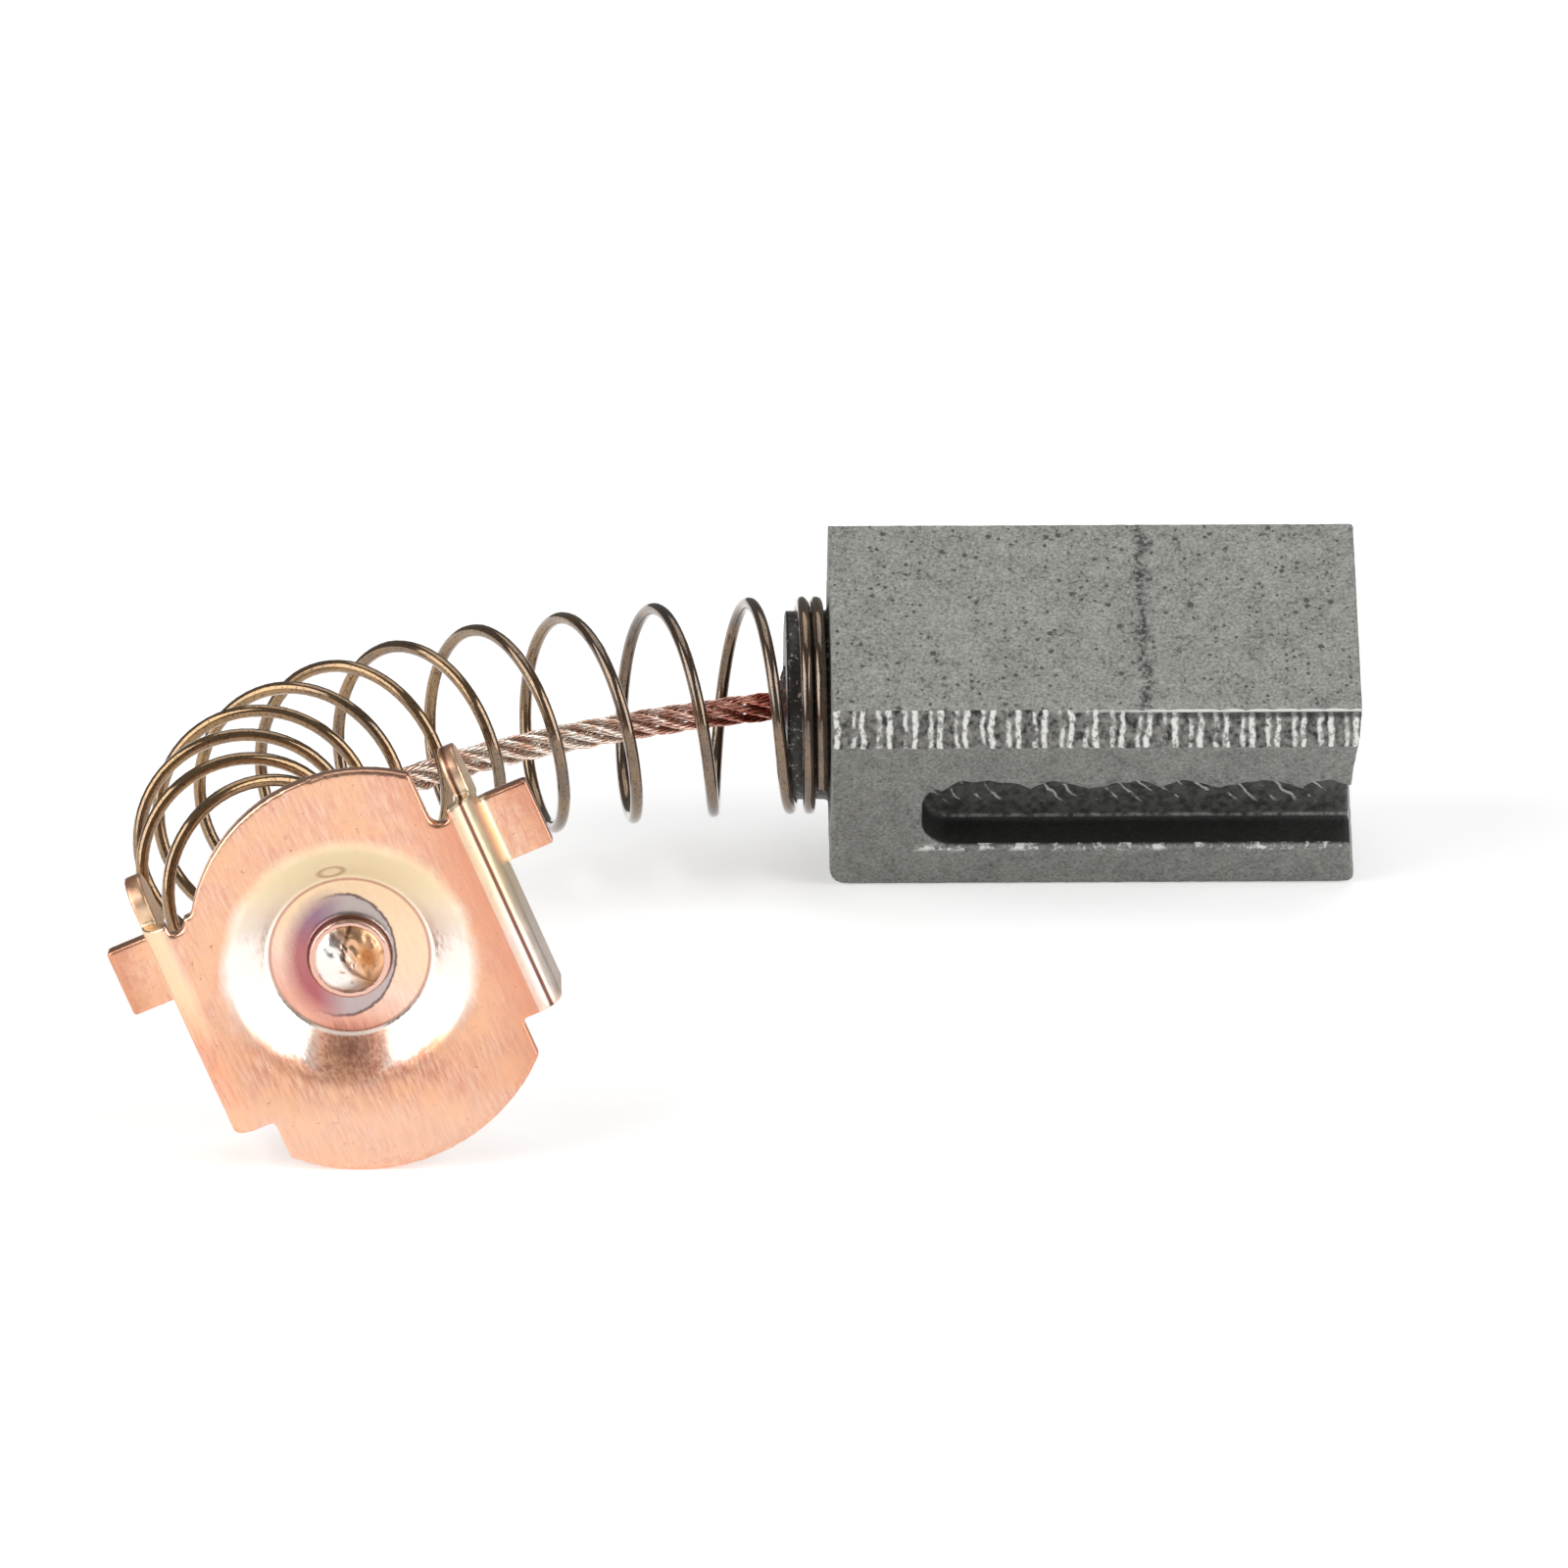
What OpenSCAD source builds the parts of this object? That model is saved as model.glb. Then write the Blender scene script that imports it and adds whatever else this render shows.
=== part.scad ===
// Carbon brush for a small motor: a slotted carbon block, a stranded copper shunt
// tamped into its boss, a pressure spring and a folded copper terminal cap.
// The origin is the middle of the contact end. +X runs out of the block along its
// long axis and +Z is up, as the brush lies by itself on a table.

/* [Carbon block] */
// Length of the block from its shoulder to the contact end
block_len = 14.5; // [10:0.5:24]
// Width of the block, from the slotted face to the back face
block_w = 7.5; // [7:0.1:10]
// Height of the block
block_h = 6.5; // [6:0.1:9]
// Leg of the chamfer along the upper front edge
chamfer = 0.65; // [0.3:0.05:1]
// Radius of the motor's commutator, ground into the contact end
commutator_r = 20; // [12:1:60]
// Spacing of the cutter's chatter marks along the chamfer
chatter_pitch = 0.71; // [0.5:0.01:1.2]
// Depth of each chatter mark
chatter_depth = 0.06; // [0.02:0.01:0.1]

/* [Guide slot] */
// Length of the slot from the contact end
slot_len = 12; // [6:0.5:13]
// Height of the slot's opening
slot_h = 2.64; // [1.5:0.02:3.5]
// Depth of the slot
slot_depth = 1.1; // [0.5:0.1:1.4]
// Radius of the two corners at the slot's inner end
slot_corner_r = 0.95; // [0.2:0.05:1.2]
// How far the slot's middle lies below the block's axis
slot_drop = 0.35; // [0:0.01:0.5]

/* [Boss and shunt socket] */
// Diameter of the boss that carries the spring
boss_d = 5.2; // [4:0.1:6]
// Height of the boss above the shoulder
boss_len = 1.2; // [0.8:0.1:2]
// Diameter of the socket for the shunt
socket_d = 2.2; // [1.6:0.1:3]
// Depth of the socket from the boss's face
socket_depth = 4; // [3:0.5:6]
// Clearance between the tamping plug and the socket
plug_gap = 0.02; // [0.01:0.01:0.05]
// Clearance between the plug and the shunt
shunt_gap = 0.03; // [0.02:0.01:0.08]

/* [Shunt] */
// Number of strands laid round the core
strands = 6; // [6:1:6]
// Diameter of one strand
strand_d = 0.24; // [0.18:0.01:0.26]
// Gap between the strands and the core
strand_gap = 0.05; // [0.05:0.01:0.08]
// Length of rope in which a strand goes once round
lay = 5; // [4.5:0.5:8]
// How far the taut shunt cuts the inside of the bend
bow = 1.5; // [0:0.1:1.6]
// How far the shunt sags below the spring's axis in the middle
sag = 0.35; // [0:0.05:0.4]

/* [Spring] */
// Diameter of the spring wire
wire_d = 0.35; // [0.25:0.01:0.45]
// Clearance between the spring's inside and the boss
coil_gap = 0.07; // [0.03:0.01:0.2]
// Closed turns on the boss
closed_turns = 1.9; // [1:0.1:2]
// Open turns
open_turns = 13.9; // [9:0.05:15]
// Closed turns behind the cap
end_turns = 1; // [0.5:0.1:1.5]
// Clearance between touching turns, and between a seated turn and its seat
turn_gap = 0.03; // [0.02:0.01:0.1]
// Share of a turn in which the pitch changes
pitch_blend = 0.6; // [0.3:0.1:1]
// Angle at which the first turn starts
coil_start = 236; // [0:1:360]
// Angle by which the leaning turns tip forward at most
coil_lean = 5; // [0:0.5:8]
// Share of the climb in which the turns lean
lean_share = 0.55; // [0.3:0.05:1]

/* [Bent route of the spring] */
// Straight length at the shoulder
straight_len = 1.3; // [1.2:0.1:3]
// Length of the first bend
bend_1_len = 7.9; // [7:0.1:12]
// Turn of the first bend
bend_1 = 23.9; // [20:0.1:45]
// Length of the main bend
bend_2_len = 19.5; // [18:0.25:24]
// Turn of the main bend
bend_2 = 94; // [70:0.1:98]
// Length of the return bend
bend_3_len = 6.25; // [3:0.25:8]
// Straight length that ends at the cap's face
end_len = 1.5; // [1.5:0.1:3]
// How the height is gained: 1 evenly, more is later
climb_power = 3.7; // [1:0.1:4]
// How far the unsupported spring sags in the middle
spring_sag = 0.27; // [0:0.01:0.4]

/* [Terminal cap] */
// Thickness of the copper sheet
sheet = 0.45; // [0.3:0.01:0.5]
// Radius of the upper lobe
lobe_top_r = 4.62; // [4.4:0.01:5]
// Sideways place of the upper lobe's centre
lobe_top_x = 0.68; // [0:0.01:0.8]
// Height of the upper lobe's centre
lobe_top_y = 0.5; // [0.2:0.01:0.8]
// Half of the upper lobe's width
lobe_top_half = 3.5; // [3.4:0.01:3.6]
// Radius of the lower lobe
lobe_low_r = 5.03; // [4.8:0.01:5.4]
// How far the lower lobe's centre lies below the cap's centre
lobe_low_y = 0.7; // [0.4:0.01:1]
// Half of the lower lobe's width
lobe_low_half = 3.55; // [3.3:0.01:3.6]
// Half of the width over the folded flanges
cap_half = 4.7; // [4.6:0.01:5]
// Outer radius of the flange's fold
fold_r = 0.73; // [0.6:0.01:0.8]
// Depth of the flanges behind the face
flange_depth = 2.35; // [2.2:0.05:4]
// Lower end of the flanges, below the cap's centre
flange_low = 3.2; // [2.5:0.05:3.4]
// Upper end of the flanges, above the cap's centre
flange_top = 4.07; // [3.8:0.01:4.6]
// Bottom of the relief notch at each fold
relief_y = 2.58; // [2.5:0.01:2.8]
// Radius of the relief notch
relief_r = 0.32; // [0.2:0.01:0.32]
// Reach of the ears from the cap's middle
ear_reach = 6; // [5.7:0.1:7]
// Lower edge of the ears
ear_low = 0.39; // [0.1:0.01:0.8]
// Height of the ears
ear_h = 1.89; // [1.2:0.01:2]
// Inner radius of the ear's fold
ear_bend = 0.15; // [0.1:0.05:0.4]
// Slit between the ear and the flange's back edge
ear_slit = 0.12; // [0.05:0.01:0.3]
// How far the cap is turned on the spring
cap_turn = 23.3; // [0:0.1:40]

/* [Dish and collar] */
// Radius of the dish at the face
dish_out = 3.24; // [3.2:0.01:3.4]
// Radius of the dish's flat
dish_in = 2.16; // [1.9:0.01:2.3]
// Depth of the dish
dish_depth = 0.89; // [0.5:0.01:0.95]
// Inner radius of the dish's bends
dish_bend = 0.12; // [0.05:0.01:0.2]
// Bore of the collar round the shunt's end
collar_bore = 1.7; // [1.6:0.05:2]
// Wall of the collar
collar_wall = 0.24; // [0.15:0.01:0.3]
// Height of the collar above the dish's flat
collar_h = 0.35; // [0.2:0.05:0.5]
// Clearance between the weld button and the collar
button_gap = 0.02; // [0.01:0.01:0.05]
// How far the button's crown stands below the collar's rim
button_drop = 0.08; // [0:0.01:0.15]
// Length of the button behind the dish
button_tail = 0.12; // [0.05:0.01:0.2]

/* [Rest on the table] */
// Roll of the block about its axis, on to its lower front edge
rest_roll = 32; // [20:1:40]

/* [Hidden] */
$fn = 64;
over = 0.1;
wire_sides = 8;
turn_rings = 20;
strand_sides = 6;
strand_rings = 66;

// Heights of the block's axis and of the cap's centre above the table
axis_h = block_h / 2 * cos(rest_roll) + block_w / 2 * sin(rest_roll);
cap_h = lobe_low_y * cos(cap_turn) + lobe_low_r;
climb = cap_h - axis_h;

// The cap's folds
fold_len = flange_low + relief_y + relief_r;
ear_fold_r = ear_bend + sheet;

// The route: lengths and turns of its stretches, from the shoulder to the cap's face
route = [
    [straight_len, 0],
    [bend_1_len, bend_1],
    [bend_2_len, bend_2],
    [bend_3_len, 90 - bend_1 - bend_2],
    [end_len, 0]
];
run = straight_len + bend_1_len + bend_2_len + bend_3_len + end_len;
climb_len = run - straight_len - end_len;

// The spring
coil_r = boss_d / 2 + coil_gap + wire_d / 2;
closed_pitch = wire_d + turn_gap;
turns = closed_turns + open_turns + end_turns;
dish_slope = atan2(dish_depth, dish_out - dish_in);
dish_edge = dish_out + (dish_bend + sheet) * tan(dish_slope / 2);
seat_depth = (dish_out - coil_r) * tan(dish_slope) + (sheet + wire_d / 2 + turn_gap) / cos(dish_slope);
coil_from = wire_d / 2 + turn_gap;
coil_to = run - seat_depth;
pitch_gain = (coil_to - coil_from - closed_pitch * turns) / open_turns;

// The shunt
strand_r = strand_d + strand_gap;
rope_r = strand_r + strand_d / 2;
end_slant = strand_d * PI * strand_r / lay;
button_back = dish_depth + sheet + button_tail;
shunt_from = boss_len - socket_depth + socket_d / 4 + shunt_gap + end_slant;
shunt_to = run - button_back - shunt_gap - end_slant;

// One stretch of the route: a place and heading moved on by a length and a turn
function moved(at, len, turn) =
    turn == 0
        ? [at[0] - len * cos(at[2]), at[1] - len * sin(at[2]), at[2]]
        : let (r = len / turn * 180 / PI)
          [at[0] - r * (sin(at[2] + turn) - sin(at[2])), at[1] + r * (cos(at[2] + turn) - cos(at[2])), at[2] + turn];

// Place and heading at distance s along the route
function along(s, i = 0, at = [-block_len, 0, 0]) =
    i == len(route) - 1 || s <= route[i][0]
        ? moved(at, s, route[i][1] * s / route[i][0])
        : along(s - route[i][0], i + 1, moved(at, route[i][0], route[i][1]));

function climb_share(s) = min(max((s - straight_len) / climb_len, 0), 1);
function climbed(s) =
    let (f = climb_share(s))
    climb * pow(f, climb_power) - spring_sag * sin(180 * f);

// Direction at the angle a from straight up, beside the route, tipped forward by lean
function outward(s, a, lean = 0) =
    let (h = along(s)[2])
    [
        -sin(a) * sin(h) - cos(a) * sin(lean) * cos(h),
        sin(a) * cos(h) - cos(a) * sin(lean) * sin(h),
        cos(a) * cos(lean)
    ];

// A point beside the route: out by r in that direction
function beside(s, r, a, lean = 0) =
    let (at = along(s))
    [at[0], at[1], climbed(s)] + r * outward(s, a, lean);

// A ramp that starts softly: 0 before x = 0 and x after it
function ramp(x) =
    let (w = pitch_blend)
    x <= -w / 2 ? 0 : x >= w / 2 ? x : pow(x + w / 2, 2) / (2 * w);

// Distance along the route that the spring has reached after k turns
function coil_at(k) =
    coil_from + closed_pitch * k + pitch_gain * (ramp(k - closed_turns) - ramp(k - closed_turns - open_turns));

// How far a turn at distance s leans
function leaning(s) = coil_lean * sin(180 * min(climb_share(s) / lean_share, 1));

// Route of the shunt's middle, inside the spring
function shunt_share(s) = min(max((s - boss_len) / (shunt_to - boss_len), 0), 1);
function shunt_mid(s) =
    let (share = sin(180 * shunt_share(s)))
    beside(s, bow * share, -90) - [0, 0, sag * share];

// A round wire through points, with a direction to start each ring from
module wire(points, starts, d, sides) {
    last = len(points) - 1;
    rings = [
        for (i = [0:last])
            let (
                run_dir = points[min(i + 1, last)] - points[max(i - 1, 0)],
                t = run_dir / norm(run_dir),
                flat = starts[i] - t * (starts[i] * t),
                n = flat / norm(flat),
                b = cross(t, n)
            )
            for (j = [0:sides - 1])
                let (a = 360 * j / sides)
                points[i] + d / 2 * (n * cos(a) + b * sin(a))
    ];
    walls = [
        for (i = [0:last - 1], j = [0:sides - 1])
            let (
                a = i * sides + j,
                b = i * sides + (j + 1) % sides
            )
            each [[a, a + sides, b + sides], [a, b + sides, b]]
    ];
    near_end = [for (j = [0:sides - 1]) j];
    far_end = [for (j = [0:sides - 1]) last * sides + sides - 1 - j];
    polyhedron(points = rings, faces = concat(walls, [near_end, far_end]));
}

// The outline of the slot, seen from the front, with its inner corners rounded
module slot_outline() {
    union() {
        translate([-slot_len + slot_corner_r, -slot_h / 2])
            square([slot_len - slot_corner_r + over, slot_h]);
        translate([-slot_len, -slot_h / 2 + slot_corner_r])
            square([slot_corner_r + over, slot_h - 2 * slot_corner_r]);
        for (side = [-1, 1])
            translate([-slot_len + slot_corner_r, side * (slot_h / 2 - slot_corner_r)])
                circle(r = slot_corner_r);
    }
}

// The block in its own frame, level, with its axis on X
module level_block() {
    chatter_n = floor((block_len - chatter_pitch) / chatter_pitch);
    chatter_r = chatter_pitch * 0.42;
    difference() {
        union() {
            translate([-block_len, -block_w / 2, -block_h / 2])
                cube([block_len, block_w, block_h]);
            translate([-block_len - boss_len, 0, 0])
                rotate([0, 90, 0])
                    cylinder(d = boss_d, h = boss_len + over);
        }
        // Contact end, ground to the commutator
        translate([sqrt(pow(commutator_r, 2) - pow(block_h / 2, 2)), 0, 0])
            rotate([90, 0, 0])
                cylinder(r = commutator_r, h = block_w + 2 * over, center = true, $fn = 256);
        // Chamfer along the upper front edge, with the cutter's marks across it
        translate([-block_len / 2, -block_w / 2, block_h / 2])
            rotate([45, 0, 0])
                cube([block_len + 2 * over, chamfer * sqrt(2), chamfer * sqrt(2)], center = true);
        for (i = [0:chatter_n])
            translate([-chatter_pitch * (i + 0.5), -block_w / 2 + chamfer / 2, block_h / 2 - chamfer / 2])
                rotate([45, 0, 0])
                    translate([0, 0, chatter_r - chatter_depth])
                        rotate([90, 0, 0])
                            cylinder(r = chatter_r, h = 2 * chamfer, center = true, $fn = 24);
        // Guide slot in the front face
        translate([0, -block_w / 2 + slot_depth, -slot_drop])
            rotate([90, 0, 0])
                linear_extrude(slot_depth + over)
                    slot_outline();
        // Socket for the shunt
        translate([-block_len - boss_len - over, 0, 0])
            rotate([0, 90, 0])
                cylinder(d = socket_d, h = socket_depth + over);
    }
}

module carbon_block() {
    color([0.46, 0.46, 0.45])
        rotate([rest_roll, 0, 0])
            level_block();
}

// Powder tamped round the shunt, from the socket's floor to the boss's face
module tamping_plug() {
    plug_len = socket_depth - plug_gap;
    hole_len = boss_len - shunt_from + shunt_gap + end_slant;
    color([0.25, 0.2, 0.18])
        translate([-block_len - boss_len, 0, 0])
            rotate([0, 90, 0])
                difference() {
                    cylinder(d = socket_d - 2 * plug_gap, h = plug_len);
                    translate([0, 0, -over])
                        cylinder(r = rope_r + shunt_gap, h = hole_len + over);
                }
}

module compression_spring() {
    last = ceil(turns * turn_rings);
    ks = [for (i = [0:last]) turns * i / last];
    color([0.55, 0.48, 0.4])
        wire(
            [for (k = ks) let (s = coil_at(k)) beside(s, coil_r, 360 * k + coil_start, leaning(s))],
            [for (k = ks) let (s = coil_at(k)) outward(s, 360 * k + coil_start, leaning(s))],
            wire_d,
            wire_sides
        );
}

// One strand of the shunt: r from its middle, starting at the angle a
module strand(r, a) {
    ss = [for (i = [0:strand_rings - 1]) shunt_from + (shunt_to - shunt_from) * i / (strand_rings - 1)];
    color([0.85, 0.5, 0.4])
        wire(
            [for (s = ss) shunt_mid(s) + r * outward(s, a + 360 * s / lay)],
            [for (s = ss) outward(s, 0)],
            strand_d,
            strand_sides
        );
}

module shunt_core() strand(0, 0);

module shunt_strand(i) strand(strand_r, 360 * i / strands);

// The cap's flat face, seen from the front, without its folds
module face_outline() {
    difference() {
        union() {
            translate([-cap_half + fold_r, -flange_low])
                square([2 * (cap_half - fold_r), fold_len]);
            intersection() {
                translate([lobe_top_x, lobe_top_y])
                    circle(r = lobe_top_r, $fn = 128);
                translate([-lobe_top_half, 0])
                    square([2 * lobe_top_half, lobe_top_y + lobe_top_r + over]);
            }
            intersection() {
                translate([0, -lobe_low_y])
                    circle(r = lobe_low_r, $fn = 128);
                translate([-lobe_low_half, -lobe_low_y - lobe_low_r - over])
                    square([2 * lobe_low_half, lobe_low_y + lobe_low_r + over]);
            }
        }
        circle(r = dish_edge + over / 2);
        for (side = [-1, 1])
            translate([side * (lobe_top_half + relief_r), relief_y + relief_r])
                circle(r = relief_r);
    }
}

// Half of the dish's section as it is spun: radius across, height up from the face
module dish_section() {
    outer = dish_bend + sheet;
    reach = dish_bend * tan(dish_slope / 2);
    steps = 6;
    rim = [
        for (i = [0:steps])
            let (a = dish_slope * i / steps)
            [dish_edge - outer * sin(a), -outer + outer * cos(a)]
    ];
    foot = [
        for (i = [0:steps])
            let (a = dish_slope * (1 - i / steps))
            [dish_in - reach + dish_bend * sin(a), -dish_depth + dish_bend - dish_bend * cos(a)]
    ];
    back_foot = [
        for (i = [0:steps])
            let (a = dish_slope * i / steps)
            [dish_in - reach + outer * sin(a), -dish_depth + dish_bend - outer * cos(a)]
    ];
    back_rim = [
        for (i = [0:steps])
            let (a = dish_slope * (1 - i / steps))
            [dish_edge - dish_bend * sin(a), -outer + dish_bend * cos(a)]
    ];
    polygon(concat(
        [[dish_edge + over, 0]],
        rim,
        foot,
        [[collar_bore / 2, -dish_depth], [collar_bore / 2, -dish_depth - sheet]],
        back_foot,
        back_rim,
        [[dish_edge + over, -sheet]]
    ));
}

// A quarter of a round fold of the sheet, with its axis on Z and its centre at the origin
module quarter_fold(r, h) {
    intersection() {
        difference() {
            cylinder(r = r, h = h);
            translate([0, 0, -over])
                cylinder(r = r - sheet, h = h + 2 * over);
        }
        translate([0, 0, -over])
            cube([r + over, r + over, h + 2 * over]);
    }
}

// A flange from the side: depth behind the face across, height up
module flange_outline() {
    plain_w = flange_depth - fold_r;
    difference() {
        union() {
            translate([fold_r - over, -flange_low])
                square([plain_w + over, fold_len]);
            translate([fold_r, relief_y])
                square([plain_w, flange_top - plain_w / 2 - relief_y]);
            translate([fold_r + plain_w / 2, flange_top - plain_w / 2])
                circle(d = plain_w);
        }
        translate([flange_depth - ear_fold_r, ear_low - ear_slit])
            square([ear_fold_r + over, ear_h + 2 * ear_slit]);
    }
}

// The right flange with its fold and its ear, in the cap's frame
module flange() {
    ear_x = cap_half + ear_fold_r - sheet;
    translate([cap_half - fold_r, fold_len - flange_low, -fold_r])
        rotate([90, 0, 0])
            quarter_fold(fold_r, fold_len);
    translate([cap_half - sheet, 0, 0])
        rotate([0, 90, 0])
            linear_extrude(sheet)
                flange_outline();
    translate([cap_half - sheet, ear_low, ear_fold_r - flange_depth - over / 2])
        cube([sheet, ear_h, over]);
    translate([ear_x, ear_low + ear_h, ear_fold_r - flange_depth])
        rotate([90, 180, 0])
            quarter_fold(ear_fold_r, ear_h);
    translate([ear_x - over / 2, ear_low, -flange_depth])
        cube([ear_reach - ear_x + over / 2, ear_h, sheet]);
}

// The cap in its own frame: its face on Z = 0, looking along +Z
module level_cap() {
    union() {
        translate([0, 0, -sheet])
            linear_extrude(sheet)
                face_outline();
        rotate_extrude($fn = 96)
            dish_section();
        translate([0, 0, -dish_depth - sheet / 2])
            difference() {
                cylinder(d = collar_bore + 2 * collar_wall, h = collar_h + sheet / 2);
                translate([0, 0, -over])
                    cylinder(d = collar_bore, h = collar_h + sheet + over);
            }
        flange();
        mirror([1, 0, 0])
            flange();
    }
}

// Moves the cap's frame to the end of the route, with the rim on the table
module at_cap() {
    end = along(run);
    translate([end[0], end[1], climb])
        rotate([90, 0, 0])
            rotate([0, 0, cap_turn])
                children();
}

module terminal_cap() {
    color([0.93, 0.66, 0.55])
        at_cap()
            level_cap();
}

// The shunt's end, fused into a button inside the collar
module weld_button() {
    button_r = collar_bore / 2 - button_gap;
    crown = button_r / 4;
    ball_r = (pow(button_r, 2) + pow(crown, 2)) / (2 * crown);
    top = -dish_depth + collar_h - button_drop;
    color([0.75, 0.5, 0.38])
        at_cap()
            intersection() {
                translate([0, 0, -button_back])
                    cylinder(r = button_r, h = top + button_back);
                translate([0, 0, top - ball_r])
                    sphere(r = ball_r, $fn = 96);
            }
}

carbon_block();
tamping_plug();
compression_spring();
terminal_cap();
weld_button();
shunt_core();
for (i = [1:strands])
    shunt_strand(i);
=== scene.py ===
import bmesh
import bpy
import math
from mathutils import Euler, Matrix, Vector, noise


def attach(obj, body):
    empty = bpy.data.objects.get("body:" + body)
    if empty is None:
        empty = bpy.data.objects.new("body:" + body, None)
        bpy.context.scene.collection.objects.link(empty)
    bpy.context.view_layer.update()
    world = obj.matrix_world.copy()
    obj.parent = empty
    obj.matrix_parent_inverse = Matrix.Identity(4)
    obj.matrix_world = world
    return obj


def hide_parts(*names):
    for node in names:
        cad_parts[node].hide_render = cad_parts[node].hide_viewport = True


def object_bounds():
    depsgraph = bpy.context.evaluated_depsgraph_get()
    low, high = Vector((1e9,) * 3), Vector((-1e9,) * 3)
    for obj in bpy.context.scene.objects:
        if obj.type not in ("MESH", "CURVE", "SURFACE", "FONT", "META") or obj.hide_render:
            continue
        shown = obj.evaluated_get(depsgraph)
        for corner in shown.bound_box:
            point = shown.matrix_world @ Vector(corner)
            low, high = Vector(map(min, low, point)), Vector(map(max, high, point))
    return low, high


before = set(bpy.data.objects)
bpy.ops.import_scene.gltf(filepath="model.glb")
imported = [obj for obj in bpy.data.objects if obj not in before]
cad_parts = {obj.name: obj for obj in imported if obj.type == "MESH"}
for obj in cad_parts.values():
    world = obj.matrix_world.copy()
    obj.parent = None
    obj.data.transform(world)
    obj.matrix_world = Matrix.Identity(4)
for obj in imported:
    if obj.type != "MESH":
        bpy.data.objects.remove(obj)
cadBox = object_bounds()
print("frame loaded:", len(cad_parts), "nodes")


def mm(value):
    return value / 1000


def linear(hexColour):  # sRGB hex to linear colour
    parts = [int(hexColour[i:i + 2], 16) / 255 for i in (1, 3, 5)]
    return tuple(c / 12.92 if c <= 0.04045 else ((c + 0.055) / 1.055) ** 2.4 for c in parts) + (1,)


def addNode(tree, kind, inputs=None, **settings):  # a node with its settings, values and links
    node = tree.nodes.new("ShaderNode" + kind)
    for name, value in settings.items():
        setattr(node, name, value)
    for name, value in (inputs or {}).items():
        if isinstance(value, bpy.types.NodeSocket):
            tree.links.new(value, node.inputs[name])
        else:
            node.inputs[name].default_value = value
    return node.outputs[0] if node.outputs else node


def newMaterial(name):
    material = bpy.data.materials.new(name)
    material.use_nodes = True
    material.node_tree.nodes.clear()
    return material, material.node_tree


def objectPlace(tree, place=(0, 0, 0), turn=(0, 0, 0)):  # Object coordinates in mm, in a piece's own frame
    coordinates = tree.nodes.new("ShaderNodeTexCoord").outputs["Object"]
    return addNode(tree, "Mapping", {
        "Vector": coordinates, "Location": [mm(v) for v in place],
        "Rotation": [math.radians(v) for v in turn], "Scale": (0.001, 0.001, 0.001)}, vector_type="TEXTURE")


def distance(tree, across, up):  # from the middle of a plane
    pair = addNode(tree, "CombineXYZ", {"X": across, "Y": up})
    return addNode(tree, "VectorMath", {0: pair}, operation="LENGTH").node.outputs["Value"]


def band(tree, value, middle, core, edge, strength=1.0):  # a soft-edged stripe round a middle value
    off = addNode(tree, "Math", {0: value, 1: -middle}, operation="ADD")
    off = addNode(tree, "Math", {0: off}, operation="ABSOLUTE")
    return addNode(tree, "MapRange", {
        "Value": off, "From Min": core, "From Max": edge, "To Min": strength, "To Max": 0.0})


def finished(material, inputs):  # the material with its shader and output
    surface = addNode(material.node_tree, "BsdfPrincipled", inputs)
    addNode(material.node_tree, "OutputMaterial", {"Surface": surface})
    return material


# The route that the spring and the shunt share, as lengths in mm and turns in degrees
route = {
    "start": (-14.5, 0),
    "stretches": [(1.3, 0), (7.9, 23.9), (19.5, 94), (6.25, -27.9), (1.5, 0)],
    "climb": 0.9296,
    "climbPower": 3.7,
    "sag": 0.27,
}
routeLength = sum(length for length, turn in route["stretches"])

# In mm, on the block's own axes: x along it, y from its slotted face to its back, z up
block = {
    "length": 14.5,
    "width": 7.5,
    "height": 6.5,
    "roll": 32,  # degrees about its length
    "chamfer": 0.65,
    "bossLength": 1.2,
    "slotLength": 12,
    "slotHeight": 2.64,
    "slotDrop": 0.35,  # of the slot's middle below the block's
    "slotDepth": 1.1,
}
faceY = -block["width"] / 2
topZ = block["height"] / 2
slotTopZ = block["slotHeight"] / 2 - block["slotDrop"]
slotBottomZ = -block["slotHeight"] / 2 - block["slotDrop"]
slotEndX = -block["slotLength"]
slotBackY = faceY + block["slotDepth"]

# In mm, on the cap's own axes: x across it, y up it, z out of its face
cap = {
    "turn": 23.3,  # degrees from upright
    "dishDepth": 0.89,
    "dishFlat": 2.10,  # radius
    "collar": 1.10,  # outer radius
    "foldAt": 3.95,  # where the side folds start
    "halfWidth": 4.7,
}


def movedAlong(at, length, turn):
    x, y, heading = at
    if turn == 0:
        return x - length * math.cos(heading), y - length * math.sin(heading), heading
    radius = length / math.radians(turn)
    after = heading + math.radians(turn)
    return (x - radius * (math.sin(after) - math.sin(heading)),
            y + radius * (math.cos(after) - math.cos(heading)), after)


def placeAt(s):  # place and heading at distance s along the route
    at = (*route["start"], 0.0)
    left = s
    for i, (length, turn) in enumerate(route["stretches"]):
        if left <= length or i == len(route["stretches"]) - 1:
            return movedAlong(at, left, turn * left / length)
        at = movedAlong(at, length, turn)
        left -= length


def climbShare(s):
    first, last = route["stretches"][0][0], route["stretches"][-1][0]
    return min(max((s - first) / (routeLength - first - last), 0), 1)


def climbed(s):
    f = climbShare(s)
    return route["climb"] * f ** route["climbPower"] - route["sag"] * math.sin(math.pi * f)


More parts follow.
